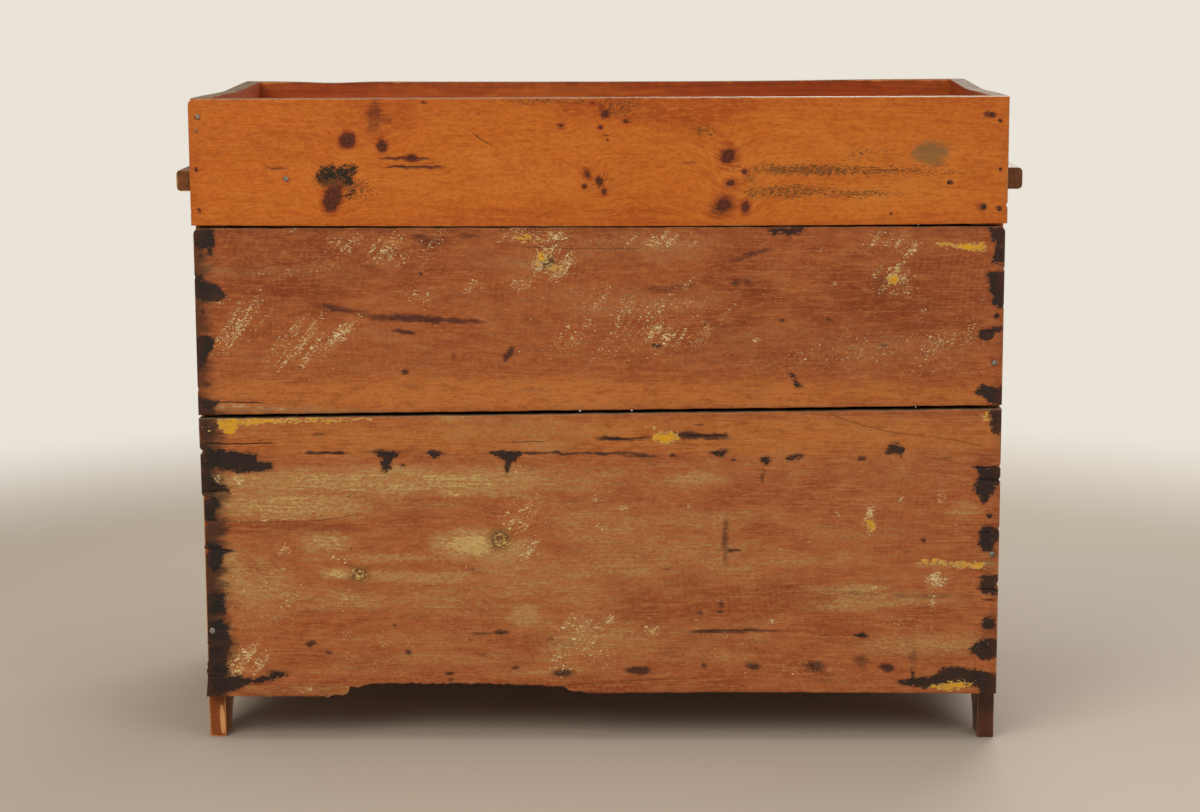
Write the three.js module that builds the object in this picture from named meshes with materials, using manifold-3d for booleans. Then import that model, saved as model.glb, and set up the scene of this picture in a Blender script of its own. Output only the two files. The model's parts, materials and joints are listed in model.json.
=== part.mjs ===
import * as THREE from 'three';
import { mergeVertices } from 'three/addons/utils/BufferGeometryUtils.js';
import Module from 'manifold-3d';

// A country dry sink: a lift-off tray on a two-door pine case.
// Millimetres, +Z up, doors towards -Y, back boards towards +Y, right end towards +X.
// The origin is on the floor, under the middle of everything that the cabinet reaches.

// Overall sizes
const trayWidth = 1067;
const trayDepth = 533;
const overallHeight = 864;
const boardThickness = 22;
const caseInset = 2; // how far the case stands in from the tray all round

// Clearances
const seatGap = 0.2; // between boards that are nailed or rest face to face
const fitGap = 0.3; // round tenons, tongues, leaves, shanks and pins
const boardPlay = 0.8; // between loose boards that lie side by side
const cutOverrun = 2; // how far a cut runs past the face that it opens
const weldDistance = 0.0001; // vertices closer than this are one vertex

// Tray
const trayBoardHeight = 165;
const wellDepth = 70;
const wellBoardThickness = 18;
const wellBoardShares = [0.35, 0.36, 0.29]; // widths, from the back
const battenWidth = 24;
const battenHeight = 40;
const rightBattenOffset = 126; // from the tray's right end to the batten's middle
const leftBattenOffset = 77; // from the tray's left end
const battenEndPlay = 0.5;
const trayCornerRadius = 4;
const trayBow = 2.5; // how far the back board's lower edge hangs in the middle
const rimDip = 3; // deepest wear of the front board's rim
const rimDipShares = [
  [0, 0], [0.07, 0.35], [0.12, 0.95], [0.18, 0.4], [0.27, 0.55],
  [0.47, 0.75], [0.71, 0.65], [0.87, 0.1], [1, 0],
]; // [along the rim from the right end, share of the dip]
const sideRimDip = 4; // deepest wear of the side boards' rims
const sideRimShares = [[0, 0], [0.2, 0.3], [0.45, 0.9], [0.6, 1], [0.8, 0.45], [1, 0]];

// Lifting cleats on the tray's sides
const handleReach = 22;
const handleHeight = 28;
const handleEndInset = 27; // from the tray's back and front faces
const handleRise = 43; // underside above the tray's lower edge
const handleRadius = 6;

// Case
const backBoardDrop = 3.5; // the back boards stop short of the tray
const backBoardLift = 61; // lower back board above the floor
const rightJointHeight = 446.5; // the slanted joint of the back boards at the right end
const leftJointHeight = 458.5; // and at the left end
const jointGap = 4.2;
const backCornerRadius = 4;
const footDepth = 53; // of each end board's feet at the floor
const archHeight = 80; // of the cut-out between those feet
const dadoDepth = 8;
const bottomBoardThickness = 20;
const bottomBoardShare = 0.53; // width of the back bottom board
const shelfHeight = 330; // top of the shelf above the floor
const shelfThickness = 20;
const shelfBoardShare = 0.46; // width of the back shelf board
const shelfEndPlay = 0.5;
const shelfCleatWidth = 20;
const shelfCleatHeight = 30;
const cleatEndInset = 18;
const doorStopGap = 0.5; // between the shelf's front edge and the closed doors
const guideWidth = 20;
const guideDrop = 60; // of the tray guides below the case's top
const guideRise = 28; // and above it, inside the tray
const guideChamfer = 6;

// Broken lower edge and worn right end of the lower back board
const breakHeight = 18.5;
const brokenEdgeShares = [
  [0.154, 0], [0.17, 0.1], [0.181, 0.25], [0.1818, 0.66], [0.202, 0.85], [0.221, 1],
  [0.348, 0.98], [0.451, 0.78], [0.468, 0.37], [0.492, 0.28], [0.702, 0.36],
]; // [along the edge from the right end, share of the height]
const leftBreakShare = 0.27;
const endWear = 4.5;
const endWearShares = [
  [0.075, 0.55], [0.117, 0], [0.135, 0.9], [0.53, 1], [0.543, 1.9], [0.556, 1], [0.63, 1],
  [0.638, 2.1], [0.646, 1], [0.733, 0.9], [0.741, 2], [0.75, 0.3], [0.9, 0.2], [0.911, 1.5],
  [0.922, 0.1],
]; // [up the end, share of the wear]

// Front frame
const outerStileWidth = 62;
const centreStileWidth = 76;
const topRailWidth = 46;
const bottomRailWidth = 48;
const bottomRailLift = 64;
const frameTenonThickness = 7.5;
const frameTenonLength = 30;
const frameTenonShoulder = 8;
const centreTenonLength = 22;
const centreTenonShoulder = 9;

// Doors
const doorGap = 2.4;
const doorStileWidth = 58;
const doorTopRailWidth = 58;
const doorBottomRailWidth = 70;
const grooveWidth = 6.5;
const grooveDepth = 9;
const doorTenonLength = 36;
const doorTenonShoulder = 11;
const panelThickness = 13;
const panelBevel = 38;
const panelPlay = 1.2; // room for the panel to swell, in the bottom of its groove

// Butt hinges
const hingeHeight = 64;
const hingeEndInset = 82; // from the door's top and bottom to the hinge's middle
const leafThickness = 1.9;
const leafReach = 19;
const leafOffset = 0.3; // from the pin's plane to the leaf
const barrelRadius = 4;
const barrelStandoff = 3.4; // pin in front of the case's face
const pinRadius = 1.8;
const pinTipRadius = 2.9;
const pinTipHeight = 1.6;
const knuckleCount = 5;
const knuckleGap = 0.4;
const roundSteps = 16;

// Knobs
const knobRadius = 16;
const knobReach = 27;
const knobNeckRadius = 8;
const knobBaseRadius = 11;
const knobTenonRadius = 5;
const knobHeight = 400; // above the floor
const knobSteps = 24;
const knobBaseShare = 0.13; // how much of the reach the base takes
const knobNeckShares = [0.22, 0.4]; // where along the reach the neck starts and ends
const knobHeadShares = [
  [0.82, 0.52], [1, 0.66], [0.97, 0.8], [0.72, 0.94], [0.3, 1],
]; // [share of the radius, share of the reach]

// Turn button on the centre stile
const buttonLength = 106;
const buttonWidth = 22;
const buttonEndRadius = 8;
const buttonThickness = 10;
const buttonChamfer = 1.5;
const buttonHeight = 472; // of its screw above the floor
const screwRadius = 2.4;
const screwHeadRadius = 5;
const screwHeadHeight = 3;
const screwHeadShares = [[0.8, 0.65], [0.4, 1]]; // [share of the radius, share of the height]
const screwDepth = 18; // in the stile

const curveSteps = 3;
const archSteps = 12;

// Places that follow from the sizes
const caseWidth = trayWidth - 2 * caseInset;
const caseDepth = trayDepth - 2 * caseInset;
const trayUnderside = overallHeight - trayBoardHeight;
const caseTop = trayUnderside - seatGap;
const frontFace = -caseDepth / 2;
const frameBack = frontFace + boardThickness;
const backFace = caseDepth / 2;
const backBoardInner = backFace - boardThickness;
const endInner = caseWidth / 2 - boardThickness;
const bodyCentreY = (caseDepth / 2 + knobReach - trayDepth / 2) / 2;
const openingBottom = bottomRailLift + bottomRailWidth;
const openingTop = trayUnderside - topRailWidth;
const openingInner = centreStileWidth / 2;
const openingOuter = caseWidth / 2 - outerStileWidth;
const doorBottom = openingBottom + doorGap;
const doorWidth = openingOuter - openingInner - 2 * doorGap;
const doorHeight = openingTop - openingBottom - 2 * doorGap;
const hingeAxisX = openingOuter - doorGap / 2;
const hingeAxisY = frontFace - barrelStandoff;

// Finishes
const pineTray = { color: 0xbf6326, roughness: 0.5, metalness: 0 };
const pineFront = { color: 0xb5602a, roughness: 0.55, metalness: 0 };
const pineBack = { color: 0xa4552e, roughness: 0.75, metalness: 0 };
const pineInside = { color: 0xb98a58, roughness: 0.8, metalness: 0 };
const hardwood = { color: 0x7a4420, roughness: 0.45, metalness: 0 };
const iron = { color: 0x3a3430, roughness: 0.6, metalness: 0.8 };

const wasm = await Module();
wasm.setup();

// Turns a closed geometry into a solid that can be joined and cut.
function solidOf(geometry) {
  const bare = geometry.clone();
  bare.deleteAttribute('normal');
  bare.deleteAttribute('uv');
  const merged = mergeVertices(bare, weldDistance);
  return new wasm.Manifold(new wasm.Mesh({
    numProp: 3,
    vertProperties: merged.attributes.position.array,
    triVerts: new Uint32Array(merged.index.array),
  }));
}

function geometryOf(solid) {
  const mesh = solid.getMesh();
  const geometry = new THREE.BufferGeometry();
  geometry.setAttribute('position', new THREE.BufferAttribute(mesh.vertProperties, 3));
  geometry.setIndex(new THREE.BufferAttribute(mesh.triVerts, 1));
  const faceted = geometry.toNonIndexed();
  faceted.computeVertexNormals();
  return faceted;
}

function join(...geometries) {
  return geometryOf(geometries.map(solidOf).reduce((all, next) => all.add(next)));
}

function cut(geometry, ...cutters) {
  return geometryOf([geometry, ...cutters].map(solidOf).reduce((rest, cutter) => rest.subtract(cutter)));
}

function common(first, second) {
  return geometryOf(solidOf(first).intersect(solidOf(second)));
}

function piece(name, geometry, finish) {
  const mesh = new THREE.Mesh(geometry, new THREE.MeshStandardMaterial(finish));
  mesh.name = name;
  return mesh;
}

// A box between two opposite corners, given in any order.
function block(cornerA, cornerB) {
  const low = cornerA.map((value, axis) => Math.min(value, cornerB[axis]));
  const high = cornerA.map((value, axis) => Math.max(value, cornerB[axis]));
  const geometry = new THREE.BoxGeometry(...high.map((value, axis) => value - low[axis]));
  geometry.translate(...high.map((value, axis) => (value + low[axis]) / 2));
  return geometry;
}

// An outline drawn in X and Z, given thickness from one Y to another.
function plankFacingY(outline, frontY, backY, steps = curveSteps) {
  const options = { depth: backY - frontY, bevelEnabled: false, curveSegments: steps };
  const geometry = new THREE.ExtrudeGeometry(outline, options);
  geometry.rotateX(Math.PI / 2);
  geometry.translate(0, backY, 0);
  return geometry;
}

// An outline drawn in Y and Z, given thickness from one X to another.
function plankFacingX(outline, lowX, highX, steps = curveSteps) {
  const options = { depth: highX - lowX, bevelEnabled: false, curveSegments: steps };
  const geometry = new THREE.ExtrudeGeometry(outline, options);
  geometry.rotateX(Math.PI / 2);
  geometry.rotateZ(Math.PI / 2);
  geometry.translate(lowX, 0, 0);
  return geometry;
}

function outlineOf(points) {
  return new THREE.Shape(points.map(([across, up]) => new THREE.Vector2(across, up)));
}

// A rectangle with its own radius at each corner: low left, low right, high right, high left.
function roundedOutline(left, low, right, high, radii) {
  const [lowLeft, lowRight, highRight, highLeft] = radii;
  const outline = new THREE.Shape();
  outline.moveTo(left + lowLeft, low);
  outline.lineTo(right - lowRight, low);
  if (lowRight) outline.absarc(right - lowRight, low + lowRight, lowRight, -Math.PI / 2, 0);
  outline.lineTo(right, high - highRight);
  if (highRight) outline.absarc(right - highRight, high - highRight, highRight, 0, Math.PI / 2);
  outline.lineTo(left + highLeft, high);
  if (highLeft) outline.absarc(left + highLeft, high - highLeft, highLeft, Math.PI / 2, Math.PI);
  outline.lineTo(left, low + lowLeft);
  if (lowLeft) outline.absarc(left + lowLeft, low + lowLeft, lowLeft, Math.PI, Math.PI * 1.5);
  return outline;
}

function roundBar(radius, length, steps = roundSteps) {
  return new THREE.CylinderGeometry(radius, radius, length, steps);
}

// A turned piece: [radius, height] points from the axis back to the axis.
function turned(points, steps) {
  return new THREE.LatheGeometry(points.map(([radius, up]) => new THREE.Vector2(radius, up)), steps);
}

// The tray stands on the case; its group has its origin at the tray's lower edge.

function trayBackBoard() {
  const halfWidth = trayWidth / 2;
  const outline = new THREE.Shape();
  outline.moveTo(-halfWidth, 0);
  outline.quadraticCurveTo(0, -2 * trayBow, halfWidth, 0);
  outline.lineTo(halfWidth, trayBoardHeight - trayCornerRadius);
  outline.absarc(
    halfWidth - trayCornerRadius, trayBoardHeight - trayCornerRadius, trayCornerRadius, 0, Math.PI / 2);
  outline.lineTo(-halfWidth, trayBoardHeight);
  return plankFacingY(outline, trayDepth / 2 - boardThickness, trayDepth / 2, archSteps / 2);
}

function trayFrontBoard() {
  const halfWidth = trayWidth / 2;
  const rim = rimDipShares.map(([along, dip]) => new THREE.Vector2(
    halfWidth - along * trayWidth, trayBoardHeight - dip * rimDip));
  const outline = new THREE.Shape();
  outline.moveTo(-halfWidth, 0);
  outline.lineTo(halfWidth, 0);
  outline.lineTo(rim[0].x, rim[0].y);
  outline.splineThru(rim.slice(1));
  return plankFacingY(outline, -trayDepth / 2, boardThickness - trayDepth / 2);
}

function traySideBoard(side) {
  const endY = trayDepth / 2 - boardThickness - seatGap;
  const rim = sideRimShares.map(([along, dip]) => new THREE.Vector2(
    endY - along * 2 * endY, trayBoardHeight - dip * sideRimDip));
  const outline = new THREE.Shape();
  outline.moveTo(-endY, 0);
  outline.lineTo(endY, 0);
  outline.lineTo(rim[0].x, rim[0].y);
  outline.splineThru(rim.slice(1));
  const outerX = side * trayWidth / 2;
  const innerX = outerX - side * boardThickness;
  return plankFacingX(outline, Math.min(outerX, innerX), Math.max(outerX, innerX));
}

function wellBoards() {
  const halfLength = trayWidth / 2 - boardThickness - seatGap;
  const top = trayBoardHeight - wellDepth;
  const backY = trayDepth / 2 - boardThickness - seatGap;
  const span = 2 * backY;
  let nextY = backY;
  return wellBoardShares.map((share, index) => {
    const highY = nextY;
    nextY = highY - share * span;
    const lowY = index < wellBoardShares.length - 1 ? nextY + boardPlay : nextY;
    const low = [-halfLength, lowY, top - wellBoardThickness];
    return piece(`well_board_${index + 1}`, block(low, [halfLength, highY, top]), pineInside);
  });
}

function trayBatten(middleX) {
  const endY = trayDepth / 2 - boardThickness - battenEndPlay;
  const top = trayBoardHeight - wellDepth - wellBoardThickness - seatGap;
  return block(
    [middleX - battenWidth / 2, -endY, top - battenHeight],
    [middleX + battenWidth / 2, endY, top]);
}

function trayHandle(side) {
  const innerX = trayWidth / 2 + seatGap;
  const outerX = trayWidth / 2 + handleReach;
  const top = handleRise + handleHeight;
  const radii = side > 0 ? [0, handleRadius, handleRadius, 0] : [handleRadius, 0, 0, handleRadius];
  const [left, right] = side > 0 ? [innerX, outerX] : [-outerX, -innerX];
  const outline = roundedOutline(left, handleRise, right, top, radii);
  const halfLength = trayDepth / 2 - handleEndInset;
  return plankFacingY(outline, -halfLength, halfLength);
}

function buildTray() {
  const tray = new THREE.Group();
  tray.position.z = trayUnderside;
  tray.add(
    piece('tray_back_board', trayBackBoard(), pineTray),
    piece('tray_front_board', trayFrontBoard(), pineTray),
    piece('tray_side_board_right', traySideBoard(1), pineTray),
    piece('tray_side_board_left', traySideBoard(-1), pineTray),
    ...wellBoards(),
    piece('tray_batten_right', trayBatten(trayWidth / 2 - rightBattenOffset), pineInside),
    piece('tray_batten_left', trayBatten(leftBattenOffset - trayWidth / 2), pineInside),
    piece('tray_handle_right', trayHandle(1), hardwood),
    piece('tray_handle_left', trayHandle(-1), hardwood),
  );
  return tray;
}

// The case's group has its origin on the floor.

// An end board: feet with a low arch between them, and a dado for the bottom boards.
function endBoard(side) {
  const frontY = frameBack + seatGap;
  const backY = backBoardInner - seatGap;
  const archRadius = (backY - frontY) / 2 - footDepth;
  const outline = new THREE.Shape();
  outline.moveTo(frontY, 0);
  outline.lineTo(frontY + footDepth, 0);
  outline.absellipse((frontY + backY) / 2, 0, archRadius, archHeight, Math.PI, 0, true);
  outline.lineTo(backY, 0);
  outline.lineTo(backY, caseTop);
  outline.lineTo(frontY, caseTop);
  const innerX = side * endInner;
  const outerX = side * caseWidth / 2;
  const board = plankFacingX(outline, Math.min(innerX, outerX), Math.max(innerX, outerX), archSteps);
  const dado = block(
    [innerX - side * cutOverrun, frontY - cutOverrun, openingBottom - bottomBoardThickness - fitGap],
    [innerX + side * dadoDepth, backY + cutOverrun, openingBottom + fitGap]);
  return cut(board, dado);
}

function bottomBoards() {
  const halfLength = endInner + dadoDepth - fitGap;
  const frontY = frameBack + seatGap;
  const backY = backBoardInner - seatGap;
  const splitY = backY - bottomBoardShare * (backY - frontY);
  const low = openingBottom - bottomBoardThickness;
  const back = block([-halfLength, splitY + boardPlay, low], [halfLength, backY, openingBottom]);
  const front = block([-halfLength, frontY, low], [halfLength, splitY, openingBottom]);
  return [piece('bottom_board_back', back, pineInside), piece('bottom_board_front', front, pineInside)];
}

function shelfBoards() {
  const halfLength = endInner - shelfEndPlay;
  const frontY = frameBack + doorStopGap;
  const backY = backBoardInner - seatGap;
  const splitY = backY - shelfBoardShare * (backY - frontY);
  const low = shelfHeight - shelfThickness;
  const back = block([-halfLength, splitY + boardPlay, low], [halfLength, backY, shelfHeight]);
  const front = block([-halfLength, frontY, low], [halfLength, splitY, shelfHeight]);
  return [piece('shelf_board_back', back, pineInside), piece('shelf_board_front', front, pineInside)];
}

function shelfCleat(side) {
  const top = shelfHeight - shelfThickness - seatGap;
  const outerX = endInner - seatGap;
  return block(
    [side * outerX, frameBack + cleatEndInset, top - shelfCleatHeight],
    [side * (outerX - shelfCleatWidth), backBoardInner - cleatEndInset, top]);
}

// A tray guide: nailed inside the end board and standing up inside the tray.
function trayGuide(side) {
  const outerX = endInner - seatGap;
  const innerX = outerX - guideWidth;
  const low = trayUnderside - guideDrop;
  const high = trayUnderside + guideRise;
  const outline = outlineOf([
    [side * innerX, low], [side * outerX, low], [side * outerX, high - guideChamfer],
    [side * (outerX - guideChamfer), high], [side * innerX, high],
  ]);
  return plankFacingY(outline, frameBack + seatGap, backBoardInner - seatGap);
}

function jointHeightAt(x) {
  return rightJointHeight + (leftJointHeight - rightJointHeight) * (0.5 - x / caseWidth);
}

function upperBackBoard() {
  const halfWidth = caseWidth / 2;
  const top = trayUnderside - backBoardDrop;
  const radius = backCornerRadius;
  const outline = new THREE.Shape();
  outline.moveTo(-halfWidth, jointHeightAt(-halfWidth));
  outline.lineTo(halfWidth, jointHeightAt(halfWidth));
  outline.lineTo(halfWidth, top - radius);
  outline.absarc(halfWidth - radius, top - radius, radius, 0, Math.PI / 2);
  outline.lineTo(radius - halfWidth, top);
  outline.absarc(radius - halfWidth, top - radius, radius, Math.PI / 2, Math.PI);
  return plankFacingY(outline, backBoardInner, backFace);
}

function lowerBackBoard() {
  const halfWidth = caseWidth / 2;
  const rightTop = jointHeightAt(halfWidth) - jointGap;
  const rightHeight = rightTop - backBoardLift;
  const brokenEdge = brokenEdgeShares.map(([along, up]) => [
    halfWidth - along * caseWidth, backBoardLift + up * breakHeight]);
  const wornEnd = endWearShares.map(([up, wear]) => [
    halfWidth - wear * endWear, backBoardLift + up * rightHeight]);
  const outline = outlineOf([
    [-halfWidth, jointHeightAt(-halfWidth) - jointGap],
    [-halfWidth, backBoardLift + leftBreakShare * breakHeight],
    ...brokenEdge.reverse(),
    [halfWidth, backBoardLift],
    ...wornEnd,
    [halfWidth, rightTop],
  ]);
  return plankFacingY(outline, backBoardInner, backFace);
}

function frameMortise(lowCorner, highCorner) {
  const middleY = (frontFace + frameBack) / 2;
  const halfThickness = frameTenonThickness / 2 + fitGap;
  return block(
    [lowCorner[0], middleY - halfThickness, lowCorner[1]],
    [highCorner[0], middleY + halfThickness, highCorner[1]]);
}

function frameTenon(lowCorner, highCorner) {
  const middleY = (frontFace + frameBack) / 2;
  return block(
    [lowCorner[0], middleY - frameTenonThickness / 2, lowCorner[1]],
    [highCorner[0], middleY + frameTenonThickness / 2, highCorner[1]]);
}

// Heights of the middle of the upper and the lower hinge above the floor.
function hingeHeights() {
  return [doorBottom + doorHeight - hingeEndInset, doorBottom + hingeEndInset];
}

function outerStile(side) {
  const innerX = side * openingOuter;
  const stile = block([innerX, frontFace, 0], [side * caseWidth / 2, frameBack, caseTop]);
  const mortiseEnd = innerX + side * (frameTenonLength + fitGap);
  const mouth = innerX - side * cutOverrun;
  const rails = [[bottomRailLift, openingBottom], [openingTop, trayUnderside]];
  const mortises = rails.map(([low, high]) => frameMortise(
    [mouth, low + frameTenonShoulder - fitGap], [mortiseEnd, high - frameTenonShoulder + fitGap]));
  const leafSeat = innerX + side * (leafOffset + leafThickness + fitGap - doorGap / 2);
  const halfHeight = hingeHeight / 2 + fitGap;
  const leafSeats = hingeHeights().map((middle) => block(
    [mouth, frontFace - cutOverrun, middle - halfHeight],
    [leafSeat, frontFace + leafReach + fitGap, middle + halfHeight]));
  return cut(stile, ...mortises, ...leafSeats);
}

function frameRail(low, high) {
  const halfLength = openingOuter - seatGap;
  const rail = block([-halfLength, frontFace, low], [halfLength, frameBack, high]);
  const reach = openingOuter + frameTenonLength;
  const tenon = frameTenon([-reach, low + frameTenonShoulder], [reach, high - frameTenonShoulder]);
  const mortiseEdge = low < openingBottom ? high : low;
  const into = mortiseEdge === high ? -1 : 1;
  const halfWidth = centreStileWidth / 2 - centreTenonShoulder + fitGap;
  const mortise = frameMortise(
    [-halfWidth, mortiseEdge - into * cutOverrun],
    [halfWidth, mortiseEdge + into * (centreTenonLength + fitGap)]);
  return cut(join(rail, tenon), mortise);
}

function centreStile() {
  const halfWidth = centreStileWidth / 2;
  const low = openingBottom + seatGap;
  const high = openingTop - seatGap;
  const stile = block([-halfWidth, frontFace, low], [halfWidth, frameBack, high]);
  const tenonHalf = halfWidth - centreTenonShoulder;
  const tenon = frameTenon(
    [-tenonHalf, openingBottom - centreTenonLength], [tenonHalf, openingTop + centreTenonLength]);
  const boreLength = screwDepth + fitGap + cutOverrun;
  const bore = roundBar(screwRadius + fitGap, boreLength);
  bore.translate(0, frontFace - cutOverrun + boreLength / 2, buttonHeight);
  return cut(join(stile, tenon), bore);
}

function buildCase() {
  const carcase = new THREE.Group();
  carcase.add(
    piece('end_board_right', endBoard(1), pineFront),
    piece('end_board_left', endBoard(-1), pineFront),
    piece('back_board_upper', upperBackBoard(), pineBack),
    piece('back_board_lower', lowerBackBoard(), pineBack),
    piece('frame_stile_right', outerStile(1), pineFront),
    piece('frame_stile_left', outerStile(-1), pineFront),
    piece('frame_stile_centre', centreStile(), pineFront),
    piece('frame_rail_top', frameRail(openingTop, caseTop), pineFront),
    piece('frame_rail_bottom', frameRail(bottomRailLift, openingBottom), pineFront),
    ...bottomBoards(),
    ...shelfBoards(),
    piece('shelf_cleat_right', shelfCleat(1), pineInside),
    piece('shelf_cleat_left', shelfCleat(-1), pineInside),
    piece('tray_guide_right', trayGuide(1), pineInside),
    piece('tray_guide_left', trayGuide(-1), pineInside),
  );
  return carcase;
}

// A door's group has its origin on the hinge pins' axis, level with the door's lower edge.
// Its pieces lie from the pins towards the centre stile: X is -side times that distance.

const doorHingeEdge = doorGap / 2;
const doorFreeEdge = doorHingeEdge + doorWidth;
const doorFront = barrelStandoff;
const doorBack = doorFront + boardThickness;
const doorMiddle = (doorFront + doorBack) / 2;
const panelTongue = grooveWidth - 2 * fitGap;

function doorMortiseHeights() {
  return [
    [doorTenonShoulder, doorBottomRailWidth - grooveDepth],
    [doorHeight - doorTopRailWidth + grooveDepth, doorHeight - doorTenonShoulder],
  ];
}

function doorStile(side, hingeSide) {
  const outer = hingeSide ? doorHingeEdge : doorFreeEdge;
  const into = hingeSide ? 1 : -1;
  const inner = outer + into * doorStileWidth;
  const place = (along) => -side * along;
  const stile = block([place(outer), doorFront, 0], [place(inner), doorBack, doorHeight]);
  const grooveFront = doorMiddle - grooveWidth / 2;
  const grooveBack = doorMiddle + grooveWidth / 2;
  const groove = block(
    [place(inner + into * cutOverrun), grooveFront, -cutOverrun],
    [place(inner - into * grooveDepth), grooveBack, doorHeight + cutOverrun]);
  const mortises = doorMortiseHeights().map(([low, high]) => block(
    [place(inner + into * cutOverrun), grooveFront, low - fitGap],
    [place(inner - into * (doorTenonLength + fitGap)), grooveBack, high + fitGap]));
  const cutters = [groove, ...mortises];
  if (hingeSide) {
    const leafSeat = leafOffset + leafThickness + fitGap;
    const halfHeight = hingeHeight / 2 + fitGap;
    hingeHeights().forEach((middle) => cutters.push(block(
      [place(outer - cutOverrun), doorFront - cutOverrun, middle - doorBottom - halfHeight],
      [place(leafSeat), doorFront + leafReach + fitGap, middle - doorBottom + halfHeight])));
  } else {
    const length = boardThickness + 2 * cutOverrun;
    const bore = roundBar(knobTenonRadius + fitGap, length, knobSteps);
    bore.translate(place(outer + into * doorStileWidth / 2), doorMiddle, knobHeight - doorBottom);
    cutters.push(bore);
  }
  return cut(stile, ...cutters);
}

// A door rail: haunched tenons at its ends and a groove along the edge that holds the panel.
function doorRail(side, isTop) {
  const place = (along) => -side * along;
  const low = isTop ? doorHeight - doorTopRailWidth : 0;
  const high = isTop ? doorHeight : doorBottomRailWidth;
  const start = doorHingeEdge + doorStileWidth;
  const end = doorFreeEdge - doorStileWidth;
  const rail = block([place(start + seatGap), doorFront, low], [place(end - seatGap), doorBack, high]);
  const [tenonLow, tenonHigh] = doorMortiseHeights()[isTop ? 1 : 0];
  const halfTongue = panelTongue / 2;
  const tenon = block(
    [place(start - doorTenonLength), doorMiddle - halfTongue, tenonLow],
    [place(end + doorTenonLength), doorMiddle + halfTongue, tenonHigh]);
  const haunchReach = grooveDepth - fitGap;
  const haunch = block(
    [place(start - haunchReach), doorMiddle - halfTongue, isTop ? tenonLow : low],
    [place(end + haunchReach), doorMiddle + halfTongue, isTop ? high : tenonHigh]);
  const grooveEdge = isTop ? low : high;
  const into = isTop ? 1 : -1;
  const halfGroove = grooveWidth / 2;
  const cutterReach = doorTenonLength + cutOverrun;
  const groove = block(
    [place(start - cutterReach), doorMiddle - halfGroove, grooveEdge - into * cutOverrun],
    [place(end + cutterReach), doorMiddle + halfGroove, grooveEdge + into * grooveDepth]);
  return cut(join(rail, tenon, haunch), groove);
}

// The section of the panel: flat towards the front, and bevelled to a tongue towards the inside.
function panelSection(low, high) {
  const front = doorMiddle - panelTongue / 2;
  const tongueBack = doorMiddle + panelTongue / 2;
  const back = front + panelThickness;
  const tongueLength = grooveDepth;
  return [
    [low, front], [high, front], [high, tongueBack], [high - tongueLength, tongueBack],
    [high - tongueLength - panelBevel, back], [low + tongueLength + panelBevel, back],
    [low + tongueLength, tongueBack], [low, tongueBack],
  ];
}

function doorPanel(side) {
  const reach = grooveDepth - panelPlay;
  const near = doorHingeEdge + doorStileWidth - reach;
  const far = doorFreeEdge - doorStileWidth + reach;
  const [lowX, highX] = [-side * near, -side * far].sort((a, b) => a - b);
  const lowZ = doorBottomRailWidth - reach;
  const highZ = doorHeight - doorTopRailWidth + reach;
  const options = { bevelEnabled: false };
  const upright = new THREE.ExtrudeGeometry(
    outlineOf(panelSection(lowX, highX)), { ...options, depth: highZ - lowZ });
  upright.translate(0, 0, lowZ);
  const level = plankFacingX(
    outlineOf(panelSection(lowZ, highZ).map(([up, y]) => [y, up]).reverse()), lowX, highX);
  return common(upright, level);
}

function knob() {
  const [neckStart, neckEnd] = knobNeckShares.map((share) => share * knobReach);
  const points = [
    [0, -boardThickness], [knobTenonRadius, -boardThickness], [knobTenonRadius, fitGap],
    [knobBaseRadius, fitGap], [knobBaseRadius, knobBaseShare * knobReach],
    [knobNeckRadius, neckStart], [knobNeckRadius, neckEnd],
    ...knobHeadShares.map(([radius, reach]) => [radius * knobRadius, reach * knobReach]),
    [0, knobReach],
  ];
  const geometry = turned(points, knobSteps);
  geometry.rotateX(Math.PI);
  return geometry;
}

function buildDoor(side, label) {
  const door = new THREE.Group();
  door.position.set(side * hingeAxisX, hingeAxisY, doorBottom);
  const pull = piece(`door_knob_${label}`, knob(), hardwood);
  pull.position.set(-side * (doorFreeEdge - doorStileWidth / 2), doorFront, knobHeight - doorBottom);
  door.add(
    piece(`door_hinge_stile_${label}`, doorStile(side, true), pineFront),
    piece(`door_knob_stile_${label}`, doorStile(side, false), pineFront),
    piece(`door_top_rail_${label}`, doorRail(side, true), pineFront),
    piece(`door_bottom_rail_${label}`, doorRail(side, false), pineFront),
    piece(`door_panel_${label}`, doorPanel(side), pineFront),
    pull,
  );
  return door;
}

// A butt hinge's group has its origin in the middle of its pin.

// One leaf: a plate beside the pin, with its share of the knuckles round the pin.
function hingeLeaf(direction, firstKnuckle) {
  const near = direction * leafOffset;
  const far = direction * (leafOffset + leafThickness);
  const plateStart = barrelRadius + fitGap;
  const plate = block(
    [near, plateStart, -hingeHeight / 2],
    [far, barrelStandoff + leafReach, hingeHeight / 2]);
  const knuckleHeight = (hingeHeight - (knuckleCount - 1) * knuckleGap) / knuckleCount;
  const parts = [plate];
  for (let index = firstKnuckle; index < knuckleCount; index += 2) {
    const low = index * (knuckleHeight + knuckleGap) - hingeHeight / 2;
    const barrel = roundBar(barrelRadius, knuckleHeight);
    barrel.rotateX(Math.PI / 2);
    barrel.translate(0, 0, low + knuckleHeight / 2);
    const web = block([near, 0, low], [far, plateStart + leafThickness, low + knuckleHeight]);
    parts.push(barrel, web);
  }
  const bore = roundBar(pinRadius + fitGap, hingeHeight + 2 * cutOverrun);
  bore.rotateX(Math.PI / 2);
  return cut(join(...parts), bore);
}

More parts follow.
